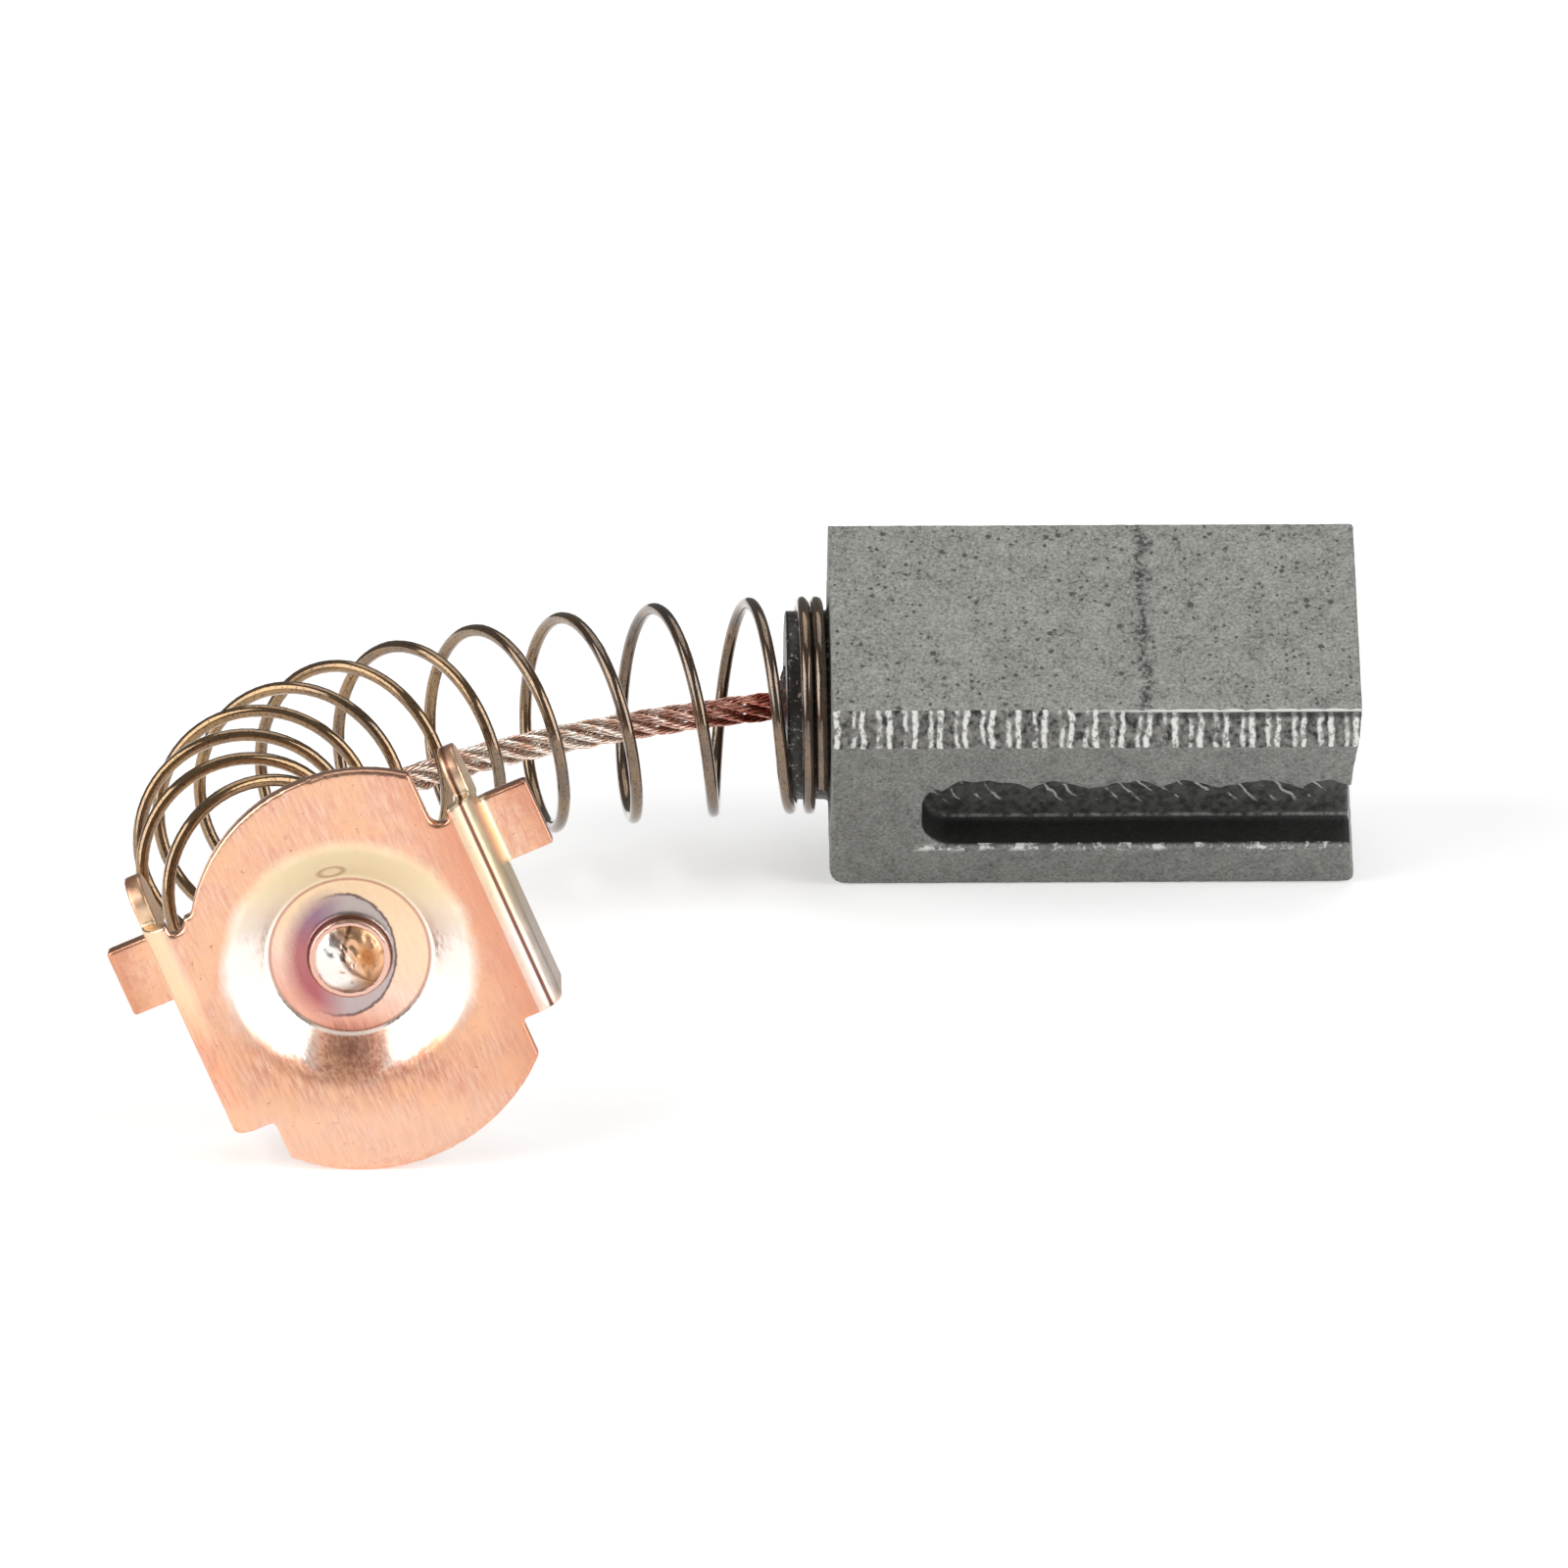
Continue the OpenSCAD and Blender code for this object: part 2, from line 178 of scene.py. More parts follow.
def outward(s, angle, lean=0.0):  # direction at an angle from straight up, tipped forward by lean
    heading = placeAt(s)[2]
    return Vector((
        -math.sin(angle) * math.sin(heading) - math.cos(angle) * math.sin(lean) * math.cos(heading),
        math.sin(angle) * math.cos(heading) - math.cos(angle) * math.sin(lean) * math.sin(heading),
        math.cos(angle) * math.cos(lean)))


def beside(s, r, angle, lean=0.0):
    x, y, heading = placeAt(s)
    return Vector((x, y, climbed(s))) + r * outward(s, angle, lean)


capPlace = (*placeAt(routeLength)[:2], route["climb"])  # middle of the cap's face, mm
capTurn = Euler((math.radians(90), -math.radians(cap["turn"]), 0))
capFrame = Matrix.Translation([mm(v) for v in capPlace]) @ capTurn.to_matrix().to_4x4()
blockFrame = Matrix.Rotation(math.radians(block["roll"]), 4, "X")


# Camera
view = {
    "eye": (-26.7, -474.5, 148.96),  # mm
    "turn": (72.325, -0.13, -1.284),
    "lens": 414.5,
}
camera = bpy.data.objects.new("camera", bpy.data.cameras.new("camera"))
camera.data.lens = view["lens"]
camera.data.sensor_width = 36
camera.data.clip_start = 0.01
camera.data.clip_end = 50
camera.location = [mm(v) for v in view["eye"]]
camera.rotation_euler = Euler([math.radians(v) for v in view["turn"]])
bpy.context.scene.collection.objects.link(camera)
bpy.context.scene.camera = camera
bpy.context.scene.view_settings.view_transform = "Standard"

studio = {
    "floorSize": 2.4,  # m
    "floorColour": "#f2f2f2",
    "floorLift": 0.42,
    "worldStrength": 0.16,
    # name: place (m), size (m), power (W)
    "lamps": {
        "overhead": ((0.02, 0.18, 0.55), 0.50, 0.85),
        "leftSoftbox": ((-0.46, -0.26, 0.24), 0.50, 2.3),
        "rightSoftbox": ((0.46, -0.26, 0.24), 0.50, 2.3),
    },
    "aim": (-0.015, -0.01, 0),
}


def seenDirectly(tree):  # 1 for what the eye, a polished surface or glass looks at
    rays = tree.nodes.new("ShaderNodeLightPath").outputs
    seen = rays["Is Camera Ray"]
    for ray in ("Is Glossy Ray", "Is Transmission Ray"):
        seen = addNode(tree, "Math", {0: seen, 1: rays[ray]}, operation="MAXIMUM")
    return seen


world = bpy.data.worlds.new("studio")
bpy.context.scene.world = world
world.use_nodes = True
tree = world.node_tree
tree.nodes.clear()
rays = tree.nodes.new("ShaderNodeLightPath").outputs
light = addNode(tree, "Background", {"Color": (1, 1, 1, 1), "Strength": studio["worldStrength"]})
white = addNode(tree, "Background", {"Color": (1, 1, 1, 1), "Strength": 1.0})
mixed = addNode(tree, "MixShader", {"Fac": rays["Is Camera Ray"], 1: light, 2: white})
addNode(tree, "OutputWorld", {"Surface": mixed})

# White paper sweep: matt for the light it gives back, and lifted to white where it is looked at
sweep, tree = newMaterial("white_paper_sweep")
paper = addNode(tree, "BsdfDiffuse", {"Color": linear(studio["floorColour"])})
glow = addNode(tree, "Emission", {"Color": (1, 1, 1, 1), "Strength": studio["floorLift"]})
lifted = addNode(tree, "AddShader", {0: paper, 1: glow})
mixed = addNode(tree, "MixShader", {"Fac": seenDirectly(tree), 1: paper, 2: lifted})
addNode(tree, "OutputMaterial", {"Surface": mixed})

shape = bmesh.new()
bmesh.ops.create_grid(shape, x_segments=1, y_segments=1, size=studio["floorSize"] / 2)
bmesh.ops.translate(shape, verts=shape.verts, vec=(0, 0, cadBox[0][2]))
floorMesh = bpy.data.meshes.new("floor")
shape.to_mesh(floorMesh)
shape.free()
floor = bpy.data.objects.new("floor", floorMesh)
floorMesh.materials.append(sweep)
bpy.context.scene.collection.objects.link(floor)

for name, (place, size, power) in studio["lamps"].items():
    lamp = bpy.data.lights.new(name, "AREA")
    lamp.shape = "SQUARE"
    lamp.size = size
    lamp.energy = power
    holder = bpy.data.objects.new(name, lamp)
    holder.location = place
    holder.rotation_euler = (Vector(place) - Vector(studio["aim"])).to_track_quat("Z", "Y").to_euler()
    bpy.context.scene.collection.objects.link(holder)
print("camera, floor and lamps set")


carbon = {
    # name: features per mm, detail, roughness
    "noises": {
        "grain": (11.0, 4.0, 0.7),
        "mottle": (1.7, 3.0, 0.6),
        "pores": (6.5, 3.0, 0.62),
        "wander": (1.1, 5.0, 0.7),
        "jitter": (1.6, 2.0, 0.5),
        "wiggle": (5.0, 1.0, 0.5),
        "smear": (4.4, 3.0, 0.6),
        "chipGlints": (1.9, 4.0, 0.75),
    },
    "poreCells": ((5.2, 0.38), (3.1, 0.52)),  # cells per mm, share of them without a pore
    "crackX": -5.35,
    "cuspPitch": 0.71,  # between the cutter's marks
    "faintCusp": 0.36,  # place of the fainter mark, in pitches
    "strokePitch": 0.54,  # of the scrapes on the slot's back wall
    "strokeSlant": 0.75,
}


def carbonGraphite():
    # Pressed and sintered carbon-graphite, milled: matt grey peppered with dark pores, with painted
    # highlights on the cusps that the cutter left along the chamfer, painted shade in the slot and painted
    # near black on the boss
    material, tree = newMaterial("pressed_carbon_graphite")
    level = objectPlace(tree, turn=(block["roll"], 0, 0))
    x, y, z = addNode(tree, "SeparateXYZ", {0: level}).node.outputs
    field = {}
    for name, (scale, detail, rough) in carbon["noises"].items():
        field[name] = addNode(tree, "TexNoise", {
            "Vector": level, "Scale": scale, "Detail": detail, "Roughness": rough})
    tone = addNode(tree, "MapRange", {"Value": field["grain"], "From Min": 0.3, "From Max": 0.7})
    ground = addNode(tree, "MixRGB", {
        "Fac": tone, "Color1": linear("#6d6d69"), "Color2": linear("#b2b2ac")})
    cloud = addNode(tree, "MapRange", {
        "Value": field["mottle"], "From Min": 0.35, "From Max": 0.65, "To Min": 0.86, "To Max": 1.06})

    # The milled front face is smeared shut, so it shows fewer pores; it is also painted darker as painted
    # shade
    front = addNode(tree, "MapRange", {
        "Value": y, "From Min": faceY + 0.01, "From Max": faceY + 0.07, "To Min": 0.55, "To Max": 1.0})
    frontShade = addNode(tree, "MapRange", {"Value": front, "From Min": 0.55, "To Min": 0.84, "To Max": 1.0})
    for shade in (cloud, frontShade):
        ground = addNode(
            tree, "MixRGB", {"Fac": 1.0, "Color1": ground, "Color2": shade}, blend_type="MULTIPLY")

    # Ragged clusters, and single pores: a cell has one where its own chance is high enough
    clustered = addNode(tree, "Math", {0: field["mottle"], 1: -0.3, 2: 0.15}, operation="MULTIPLY_ADD")
    clustered = addNode(tree, "Math", {0: field["pores"], 1: clustered}, operation="SUBTRACT")
    dots = addNode(tree, "MapRange", {
        "Value": clustered, "From Min": 0.33, "From Max": 0.42, "To Min": 0.55, "To Max": 0.0})
    ragged = addNode(tree, "VectorMath", {
        0: field["grain"].node.outputs["Color"], 1: (0.16, 0.16, 0.16), 2: level}, operation="MULTIPLY_ADD")
    for size, rarity in carbon["poreCells"]:
        cells = addNode(tree, "TexVoronoi", {"Vector": ragged, "Scale": size})
        chance = addNode(tree, "SeparateColor", {0: cells.node.outputs["Color"]})
        reach = addNode(tree, "MapRange", {
            "Value": chance, "From Min": rarity, "From Max": 1.0, "To Min": -0.1, "To Max": 0.30})
        reach = addNode(tree, "Math", {0: reach, 1: cells}, operation="SUBTRACT")
        pore = addNode(tree, "MapRange", {
            "Value": reach, "From Min": -0.06, "From Max": 0.04, "To Min": 0.0, "To Max": 0.85})
        dots = addNode(tree, "Math", {0: dots, 1: pore}, operation="MAXIMUM")
    dots = addNode(tree, "Math", {0: dots, 1: front}, operation="MULTIPLY")

    # A healed crack across the top face
    wandering = addNode(tree, "Math", {0: field["wander"], 1: 1.1, 2: x}, operation="MULTIPLY_ADD")
    crack = band(tree, wandering, carbon["crackX"], 0.03, 0.22)
    broken = addNode(tree, "MapRange", {
        "Value": field["pores"], "From Min": 0.46, "From Max": 0.58, "To Min": 1.0, "To Max": 0.1})
    onTop = addNode(tree, "Math", {0: z, 1: topZ - 0.25}, operation="GREATER_THAN")
    for mask in (broken, onTop):
        crack = addNode(tree, "Math", {0: crack, 1: mask}, operation="MULTIPLY")
    dots = addNode(tree, "Math", {0: dots, 1: crack}, operation="MAXIMUM")

    # Chamfer: a painted highlight on the cusp at each of the cutter's marks, with a fainter painted
    # highlight beside it in places
    section = addNode(tree, "Math", {0: z, 1: y}, operation="SUBTRACT")
    chamferStart = topZ - faceY - block["chamfer"] - 0.1
    chamfer = addNode(tree, "Math", {0: section, 1: chamferStart}, operation="GREATER_THAN")
    across = addNode(tree, "Math", {0: z, 1: y}, operation="ADD")
    shifted = addNode(tree, "Math", {0: field["jitter"], 1: 0.26, 2: x}, operation="MULTIPLY_ADD")
    shifted = addNode(tree, "Math", {0: field["wiggle"], 1: 0.11, 2: shifted}, operation="MULTIPLY_ADD")
    cusp = addNode(tree, "Math", {0: shifted, 1: carbon["cuspPitch"] / 2}, operation="PINGPONG")
    cuspHighlight = addNode(tree, "MapRange", {
        "Value": cusp, "From Min": 0.045, "From Max": 0.095, "To Min": 1.0, "To Max": 0.0})
    offset = carbon["cuspPitch"] * carbon["faintCusp"]
    faint = addNode(tree, "Math", {0: shifted, 1: offset}, operation="ADD")
    faint = addNode(tree, "Math", {0: faint, 1: carbon["cuspPitch"] / 2}, operation="PINGPONG")
    faint = addNode(tree, "MapRange", {
        "Value": faint, "From Min": 0.03, "From Max": 0.09, "To Min": 0.85, "To Max": 0.0})
    patches = addNode(tree, "MapRange", {"Value": field["mottle"], "From Min": 0.42, "From Max": 0.52})
    faint = addNode(tree, "Math", {0: faint, 1: patches}, operation="MULTIPLY")
    cuspHighlight = addNode(tree, "Math", {0: cuspHighlight, 1: faint}, operation="MAXIMUM")
    chewed = addNode(tree, "MapRange", {
        "Value": field["pores"], "From Min": 0.38, "From Max": 0.50, "To Min": 0.25, "To Max": 1.0})
    cuspHighlight = addNode(tree, "Math", {0: cuspHighlight, 1: chewed}, operation="MULTIPLY")

    # Towards the contact end, the chamfer's upper edge gets a painted highlight as a bright line, with a
    # dark strip below it
    edge = addNode(tree, "MapRange", {
        "Value": across, "From Min": 0.12, "From Max": 0.17, "To Min": 0.0, "To Max": 0.9})
    edgeShare = addNode(tree, "MapRange", {"Value": x, "From Min": -9.0, "From Max": -5.0})
    edge = addNode(tree, "Math", {0: edge, 1: edgeShare}, operation="MULTIPLY")
    strip = addNode(tree, "MapRange", {
        "Value": across, "From Min": -0.16, "From Max": -0.02, "To Min": 0.0, "To Max": 0.8})
    stripShare = addNode(tree, "MapRange", {"Value": x, "From Min": -8.0, "From Max": -3.0})
    strip = addNode(tree, "Math", {0: strip, 1: stripShare}, operation="MULTIPLY")
    clear = addNode(tree, "Math", {0: 1.0, 1: strip}, operation="SUBTRACT")
    cuspHighlight = addNode(tree, "Math", {0: cuspHighlight, 1: clear}, operation="MULTIPLY")
    cuspHighlight = addNode(tree, "Math", {0: cuspHighlight, 1: edge}, operation="MAXIMUM")
    smear = addNode(tree, "MapRange", {"Value": field["smear"], "From Min": 0.36, "From Max": 0.62})
    marks = addNode(tree, "MixRGB", {
        "Fac": smear, "Color1": linear("#242321"), "Color2": linear("#8a8984")})
    for mask, tint in ((strip, "#1e1d1c"), (cuspHighlight, "#eeeeea")):
        marks = addNode(tree, "MixRGB", {"Fac": mask, "Color1": marks, "Color2": linear(tint)})

    # Slot, darkened with painted shade: a scraped back wall painted dark grey with short bright strokes and
    # a smeared foot, between walls painted near black
    inner = addNode(tree, "Math", {0: x, 1: slotEndX - 0.2}, operation="GREATER_THAN")
    slot = addNode(tree, "Math", {0: z, 1: slotTopZ + 0.73}, operation="LESS_THAN")
    for mask in (
            addNode(tree, "Math", {0: z, 1: slotBottomZ - 0.11}, operation="GREATER_THAN"),
            addNode(tree, "MapRange", {"Value": y, "From Min": faceY + 0.04, "From Max": faceY + 0.15}),
            inner,
            addNode(tree, "Math", {0: y, 1: slotBackY + 0.35}, operation="LESS_THAN")):
        slot = addNode(tree, "Math", {0: slot, 1: mask}, operation="MULTIPLY")
    back = addNode(tree, "MapRange", {
        "Value": y, "From Min": slotBackY - 0.08, "From Max": slotBackY - 0.03})
    aslant = addNode(tree, "Math", {0: z, 1: carbon["strokeSlant"], 2: x}, operation="MULTIPLY_ADD")
    aslant = addNode(tree, "Math", {0: field["jitter"], 1: 0.5, 2: aslant}, operation="MULTIPLY_ADD")
    stroke = addNode(tree, "Math", {0: aslant, 1: carbon["strokePitch"] / 2}, operation="PINGPONG")
    stroke = addNode(tree, "MapRange", {
        "Value": stroke, "From Min": 0.02, "From Max": 0.06, "To Min": 1.0, "To Max": 0.0})
    within = band(tree, z, -block["slotDrop"], 0.45, 0.75)
    struck = addNode(tree, "MapRange", {"Value": field["mottle"], "From Min": 0.46, "From Max": 0.54})
    for mask in (within, struck, back):
        stroke = addNode(tree, "Math", {0: stroke, 1: mask}, operation="MULTIPLY")
    foot = addNode(tree, "MapRange", {
        "Value": z, "From Min": slotBottomZ + 0.05, "From Max": slotBottomZ + 0.17,
        "To Min": 0.8, "To Max": 0.0})
    foot = addNode(tree, "Math", {0: foot, 1: smear}, operation="MULTIPLY")
    stroke = addNode(tree, "Math", {0: stroke, 1: foot}, operation="MAXIMUM")
    shadedScrapedWall = addNode(tree, "MixRGB", {
        "Fac": smear, "Color1": linear("#2d2d2b"), "Color2": linear("#5a5a58")})
    shadedScrapedWall = addNode(tree, "MixRGB", {"Fac": stroke, "Color1": shadedScrapedWall, "Color2": linear("#c9c9c5")})
    slotShade = addNode(tree, "MixRGB", {"Fac": tone, "Color1": linear("#131312"), "Color2": linear("#2b2b29")})
    walls = addNode(tree, "MixRGB", {"Fac": back, "Color1": slotShade, "Color2": shadedScrapedWall})

    # Tiny chips along the slot's lower lip, painted bright as painted highlights
    chipGlints = addNode(tree, "MapRange", {"Value": field["chipGlints"], "From Min": 0.52, "From Max": 0.60})
    onFront = addNode(tree, "Math", {0: y, 1: faceY + 0.15}, operation="LESS_THAN")
    for mask in (band(tree, z, slotBottomZ - 0.02, 0.05, 0.17), inner, onFront):
        chipGlints = addNode(tree, "Math", {0: chipGlints, 1: mask}, operation="MULTIPLY")

    # The boss is painted near black, with a few bright flecks as painted highlights
    boss = addNode(tree, "MapRange", {
        "Value": x, "From Min": -block["length"] - 0.06, "From Max": -block["length"],
        "To Min": 1.0, "To Max": 0.0})
    bossGlint = addNode(tree, "MapRange", {"Value": field["pores"], "From Min": 0.60, "From Max": 0.66})
    surfaceDetail = addNode(tree, "MixRGB", {"Fac": bossGlint, "Color1": linear("#2b2622"), "Color2": linear("#b4aca0")})

    colour = ground
    for mask, coat in (
            (dots, linear("#3d3c3a")), (chamfer, marks), (slot, walls), (chipGlints, linear("#efefec")),
            (boss, surfaceDetail)):
        colour = addNode(tree, "MixRGB", {"Fac": mask, "Color1": colour, "Color2": coat})
    gleam = addNode(tree, "Math", {0: cuspHighlight, 1: chamfer}, operation="MULTIPLY")
    for mask in (chipGlints, boss):
        gleam = addNode(tree, "Math", {0: gleam, 1: mask}, operation="MAXIMUM")
    rough = addNode(tree, "MapRange", {"Value": gleam, "To Min": 0.58, "To Max": 0.32})
    dents = addNode(tree, "MapRange", {"Value": dots, "To Min": 1.0, "To Max": 0.0})
    pitted = addNode(tree, "Bump", {"Height": dents, "Strength": 0.6, "Distance": mm(0.03)})
    grainy = addNode(tree, "Bump", {
        "Height": field["grain"], "Strength": 0.45, "Distance": mm(0.02), "Normal": pitted})
    return finished(material, {"Base Color": colour, "Metallic": 0.1, "Roughness": rough, "Normal": grainy})


sheet = {
    "brushing": (11, 1.5, 11),  # streaks per mm across, up and through the sheet
    "wallEdge": 3.35,  # outer radius of the burnished wall
    "rightLine": 4.40,  # x of the dark line of painted shade along the right fold
    "heatX": -0.20,  # middle of the ring that the weld's heat left on the dish's flat
    "heatRing": 1.47,  # half its width
    "heatShare": 0.84,  # its width as a share of its height
    "dint": ((0.49, 2.36, 0), -12, (0.32, 0.16, 50)),  # place, degrees, half sizes
}


def copperSheet():
    # Pressed copper sheet, brushed up and down: salmon pink with fine streaks and specks, tinted violet
    # and grey by the heat of the weld round the collar
    material, tree = newMaterial("brushed_copper_sheet")
    local = objectPlace(tree, place=capPlace, turn=(90, -cap["turn"], 0))
    x, y, z = addNode(tree, "SeparateXYZ", {0: local}).node.outputs
    level = objectPlace(tree, place=capPlace, turn=(90, 0, 0))  # the same middle, level with the table
    right, up = addNode(tree, "SeparateXYZ", {0: level}).node.outputs[:2]
    drawn = addNode(tree, "Mapping", {"Vector": local, "Scale": sheet["brushing"]})
    streaks = addNode(tree, "TexNoise", {"Vector": drawn, "Scale": 1.0, "Detail": 4.0, "Roughness": 0.65})
    cloud = addNode(tree, "TexNoise", {"Vector": local, "Scale": 0.9, "Detail": 3.0, "Roughness": 0.6})
    speck = addNode(tree, "TexNoise", {"Vector": local, "Scale": 5.0, "Detail": 4.0, "Roughness": 0.7})
    fine = addNode(tree, "MapRange", {"Value": streaks, "From Min": 0.32, "From Max": 0.68})
    warm = addNode(tree, "MapRange", {"Value": cloud, "From Min": 0.4, "From Max": 0.65})
    dark = addNode(tree, "MapRange", {
        "Value": speck, "From Min": 0.30, "From Max": 0.37, "To Min": 0.65, "To Max": 0.0})
    colour = linear("#e2a48b")
    for mask, coat in ((fine, "#f2c8ae"), (warm, "#f3bd98"), (dark, "#8a5648")):
        colour = addNode(tree, "MixRGB", {"Fac": mask, "Color1": colour, "Color2": linear(coat)})

    # The dish's wall and the folds are painted pale as painted highlights; the press tool burnished them
    # smooth
    fromMiddle = distance(tree, x, y)
    wavering = addNode(tree, "Math", {0: cloud, 1: 0.5, 2: fromMiddle}, operation="MULTIPLY_ADD")
    wall = addNode(tree, "MapRange", {
        "Value": wavering, "From Min": sheet["wallEdge"], "From Max": sheet["wallEdge"] + 0.4,
        "To Min": 1.0, "To Max": 0.0})
    foot = addNode(tree, "MapRange", {
        "Value": fromMiddle, "From Min": cap["dishFlat"] - 0.02, "From Max": cap["dishFlat"] + 0.08,
        "To Min": 0.35, "To Max": 1.0})
    wall = addNode(tree, "Math", {0: wall, 1: foot}, operation="MULTIPLY")
    sideways = addNode(tree, "Math", {0: x}, operation="ABSOLUTE")
    fold = addNode(tree, "MapRange", {
        "Value": sideways, "From Min": cap["foldAt"], "From Max": cap["foldAt"] + 0.25, "To Max": 0.75})
    side = addNode(tree, "MapRange", {
        "Value": sideways, "From Min": cap["halfWidth"] + 0.1, "From Max": cap["halfWidth"] + 0.2,
        "To Min": 1.0, "To Max": 0.0})
    fold = addNode(tree, "Math", {0: fold, 1: side}, operation="MULTIPLY")

    # The painted highlight is left off the dish's lower rim and a patch of its wall straight below the
    # middle, which are rougher
    rim = addNode(tree, "MapRange", {
        "Value": wavering, "From Min": sheet["wallEdge"] - 0.25, "From Max": sheet["wallEdge"]})
    lower = addNode(tree, "MapRange", {
        "Value": up, "From Min": -2.3, "From Max": -0.8, "To Min": 1.0, "To Max": 0.0})
    dull = addNode(tree, "Math", {0: rim, 1: lower}, operation="MULTIPLY")
    below = addNode(tree, "MapRange", {
        "Value": up, "From Min": -2.0, "From Max": -1.6, "To Min": 1.0, "To Max": 0.0})
    patch = addNode(tree, "Math", {0: band(tree, right, 0, 0.75, 1.3), 1: below}, operation="MULTIPLY")
    dull = addNode(tree, "Math", {0: dull, 1: patch}, operation="MAXIMUM")
    kept = addNode(tree, "Math", {0: 1.0, 1: dull}, operation="SUBTRACT")
    burnishAndHighlight = addNode(tree, "Math", {0: wall, 1: fold}, operation="MAXIMUM")
    for share in (kept, 0.9):
        burnishAndHighlight = addNode(tree, "Math", {0: burnishAndHighlight, 1: share}, operation="MULTIPLY")
    upper = addNode(tree, "MapRange", {"Value": up, "From Min": 0.6, "From Max": 2.2})
    leftFold = addNode(tree, "MapRange", {
        "Value": x, "From Min": -4.2, "From Max": -3.8, "To Min": 1.0, "To Max": 0.0})
    # colours of the painted highlight: cream higher up and on the left fold
    skin = linear("#fffbf3")
    for mask, coat in ((upper, "#fff3cd"), (leftFold, "#fbe3bb")):
        skin = addNode(tree, "MixRGB", {"Fac": mask, "Color1": skin, "Color2": linear(coat)})

    # The sheet is redder on its right
    redder = addNode(tree, "MapRange", {
        "Value": x, "From Min": 2.6, "From Max": 3.9, "To Min": 0.0, "To Max": 0.75})
    beforeFold = addNode(tree, "Math", {0: x, 1: cap["foldAt"] + 0.1}, operation="LESS_THAN")
    offWall = addNode(tree, "Math", {0: 1.0, 1: wall}, operation="SUBTRACT")
    for mask in (beforeFold, offWall):
        redder = addNode(tree, "Math", {0: redder, 1: mask}, operation="MULTIPLY")

    # The dish's flat is cream above the collar and pink below it
    onFlat = addNode(tree, "MapRange", {
        "Value": fromMiddle, "From Min": cap["dishFlat"] - 0.06, "From Max": cap["dishFlat"],
        "To Min": 1.0, "To Max": 0.0})
    aslant = addNode(tree, "Math", {0: right, 1: 0.4, 2: up}, operation="MULTIPLY_ADD")
    cream = addNode(tree, "MapRange", {
        "Value": aslant, "From Min": -0.9, "From Max": 0.9, "To Min": 0.0, "To Max": 0.8})
    flush = addNode(tree, "MapRange", {
        "Value": aslant, "From Min": -1.7, "From Max": -0.6, "To Min": 0.7, "To Max": 0.0})
    cream = addNode(tree, "Math", {0: cream, 1: onFlat}, operation="MULTIPLY")
    flush = addNode(tree, "Math", {0: flush, 1: onFlat}, operation="MULTIPLY")

    # A brown line of painted shade in the crease where the wall meets the dish's flat, and darker streaks
    # under the dish
    crease = band(tree, fromMiddle, cap["dishFlat"], 0.015, 0.06, 0.6)
    darkStreaks = addNode(tree, "MapRange", {
        "Value": fromMiddle, "From Min": 3.0, "From Max": 4.3, "To Min": 0.5, "To Max": 0.0})
    underDish = addNode(tree, "MapRange", {
        "Value": up, "From Min": -2.9, "From Max": -1.9, "To Min": 1.0, "To Max": 0.0})
    streaky = addNode(tree, "MapRange", {
        "Value": streaks, "From Min": 0.40, "From Max": 0.60, "To Min": 1.0, "To Max": 0.0})
    for mask in (underDish, streaky):
        darkStreaks = addNode(tree, "Math", {0: darkStreaks, 1: mask}, operation="MULTIPLY")
    creaseShadeAndStreaks = addNode(tree, "Math", {0: crease, 1: darkStreaks}, operation="MAXIMUM")

    # Paler low down, a painted dark reflection on the dish's lower wall below the collar, a dark line of
    # painted shade by the right fold, and browner towards the edges
    low = addNode(tree, "MapRange", {
        "Value": up, "From Min": -4.4, "From Max": -3.2, "To Min": 0.38, "To Max": 0.0})
    paintedDarkReflection = distance(
        tree, addNode(tree, "Math", {0: right, 1: 0.8}, operation="MULTIPLY"),
        addNode(tree, "Math", {0: up, 1: 2.5}, operation="ADD"))
    paintedDarkReflection = addNode(tree, "Math", {0: streaks, 1: 1.1, 2: paintedDarkReflection}, operation="MULTIPLY_ADD")
    paintedDarkReflection = addNode(tree, "MapRange", {
        "Value": paintedDarkReflection, "From Min": 0.55, "From Max": 1.20, "To Min": 0.75, "To Max": 0.0})
    foldShadeLine = band(tree, x, sheet["rightLine"], 0.03, 0.08, 0.95)
    brownerRim = addNode(tree, "Math", {0: speck, 1: 1.2, 2: fromMiddle}, operation="MULTIPLY_ADD")
    brownerRim = addNode(tree, "MapRange", {
        "Value": brownerRim, "From Min": 6.0, "From Max": 6.6, "To Min": 0.0, "To Max": 0.6})

    # A painted highlight: a bright line along the foot of the wall, low in the dish
    footHighlight = addNode(tree, "MapRange", {
        "Value": up, "From Min": -1.6, "From Max": -1.1, "To Min": 1.0, "To Max": 0.0})
    foot = band(tree, fromMiddle, cap["dishFlat"] + 0.07, 0.02, 0.07, 0.85)
    footHighlight = addNode(tree, "Math", {0: foot, 1: footHighlight}, operation="MULTIPLY")

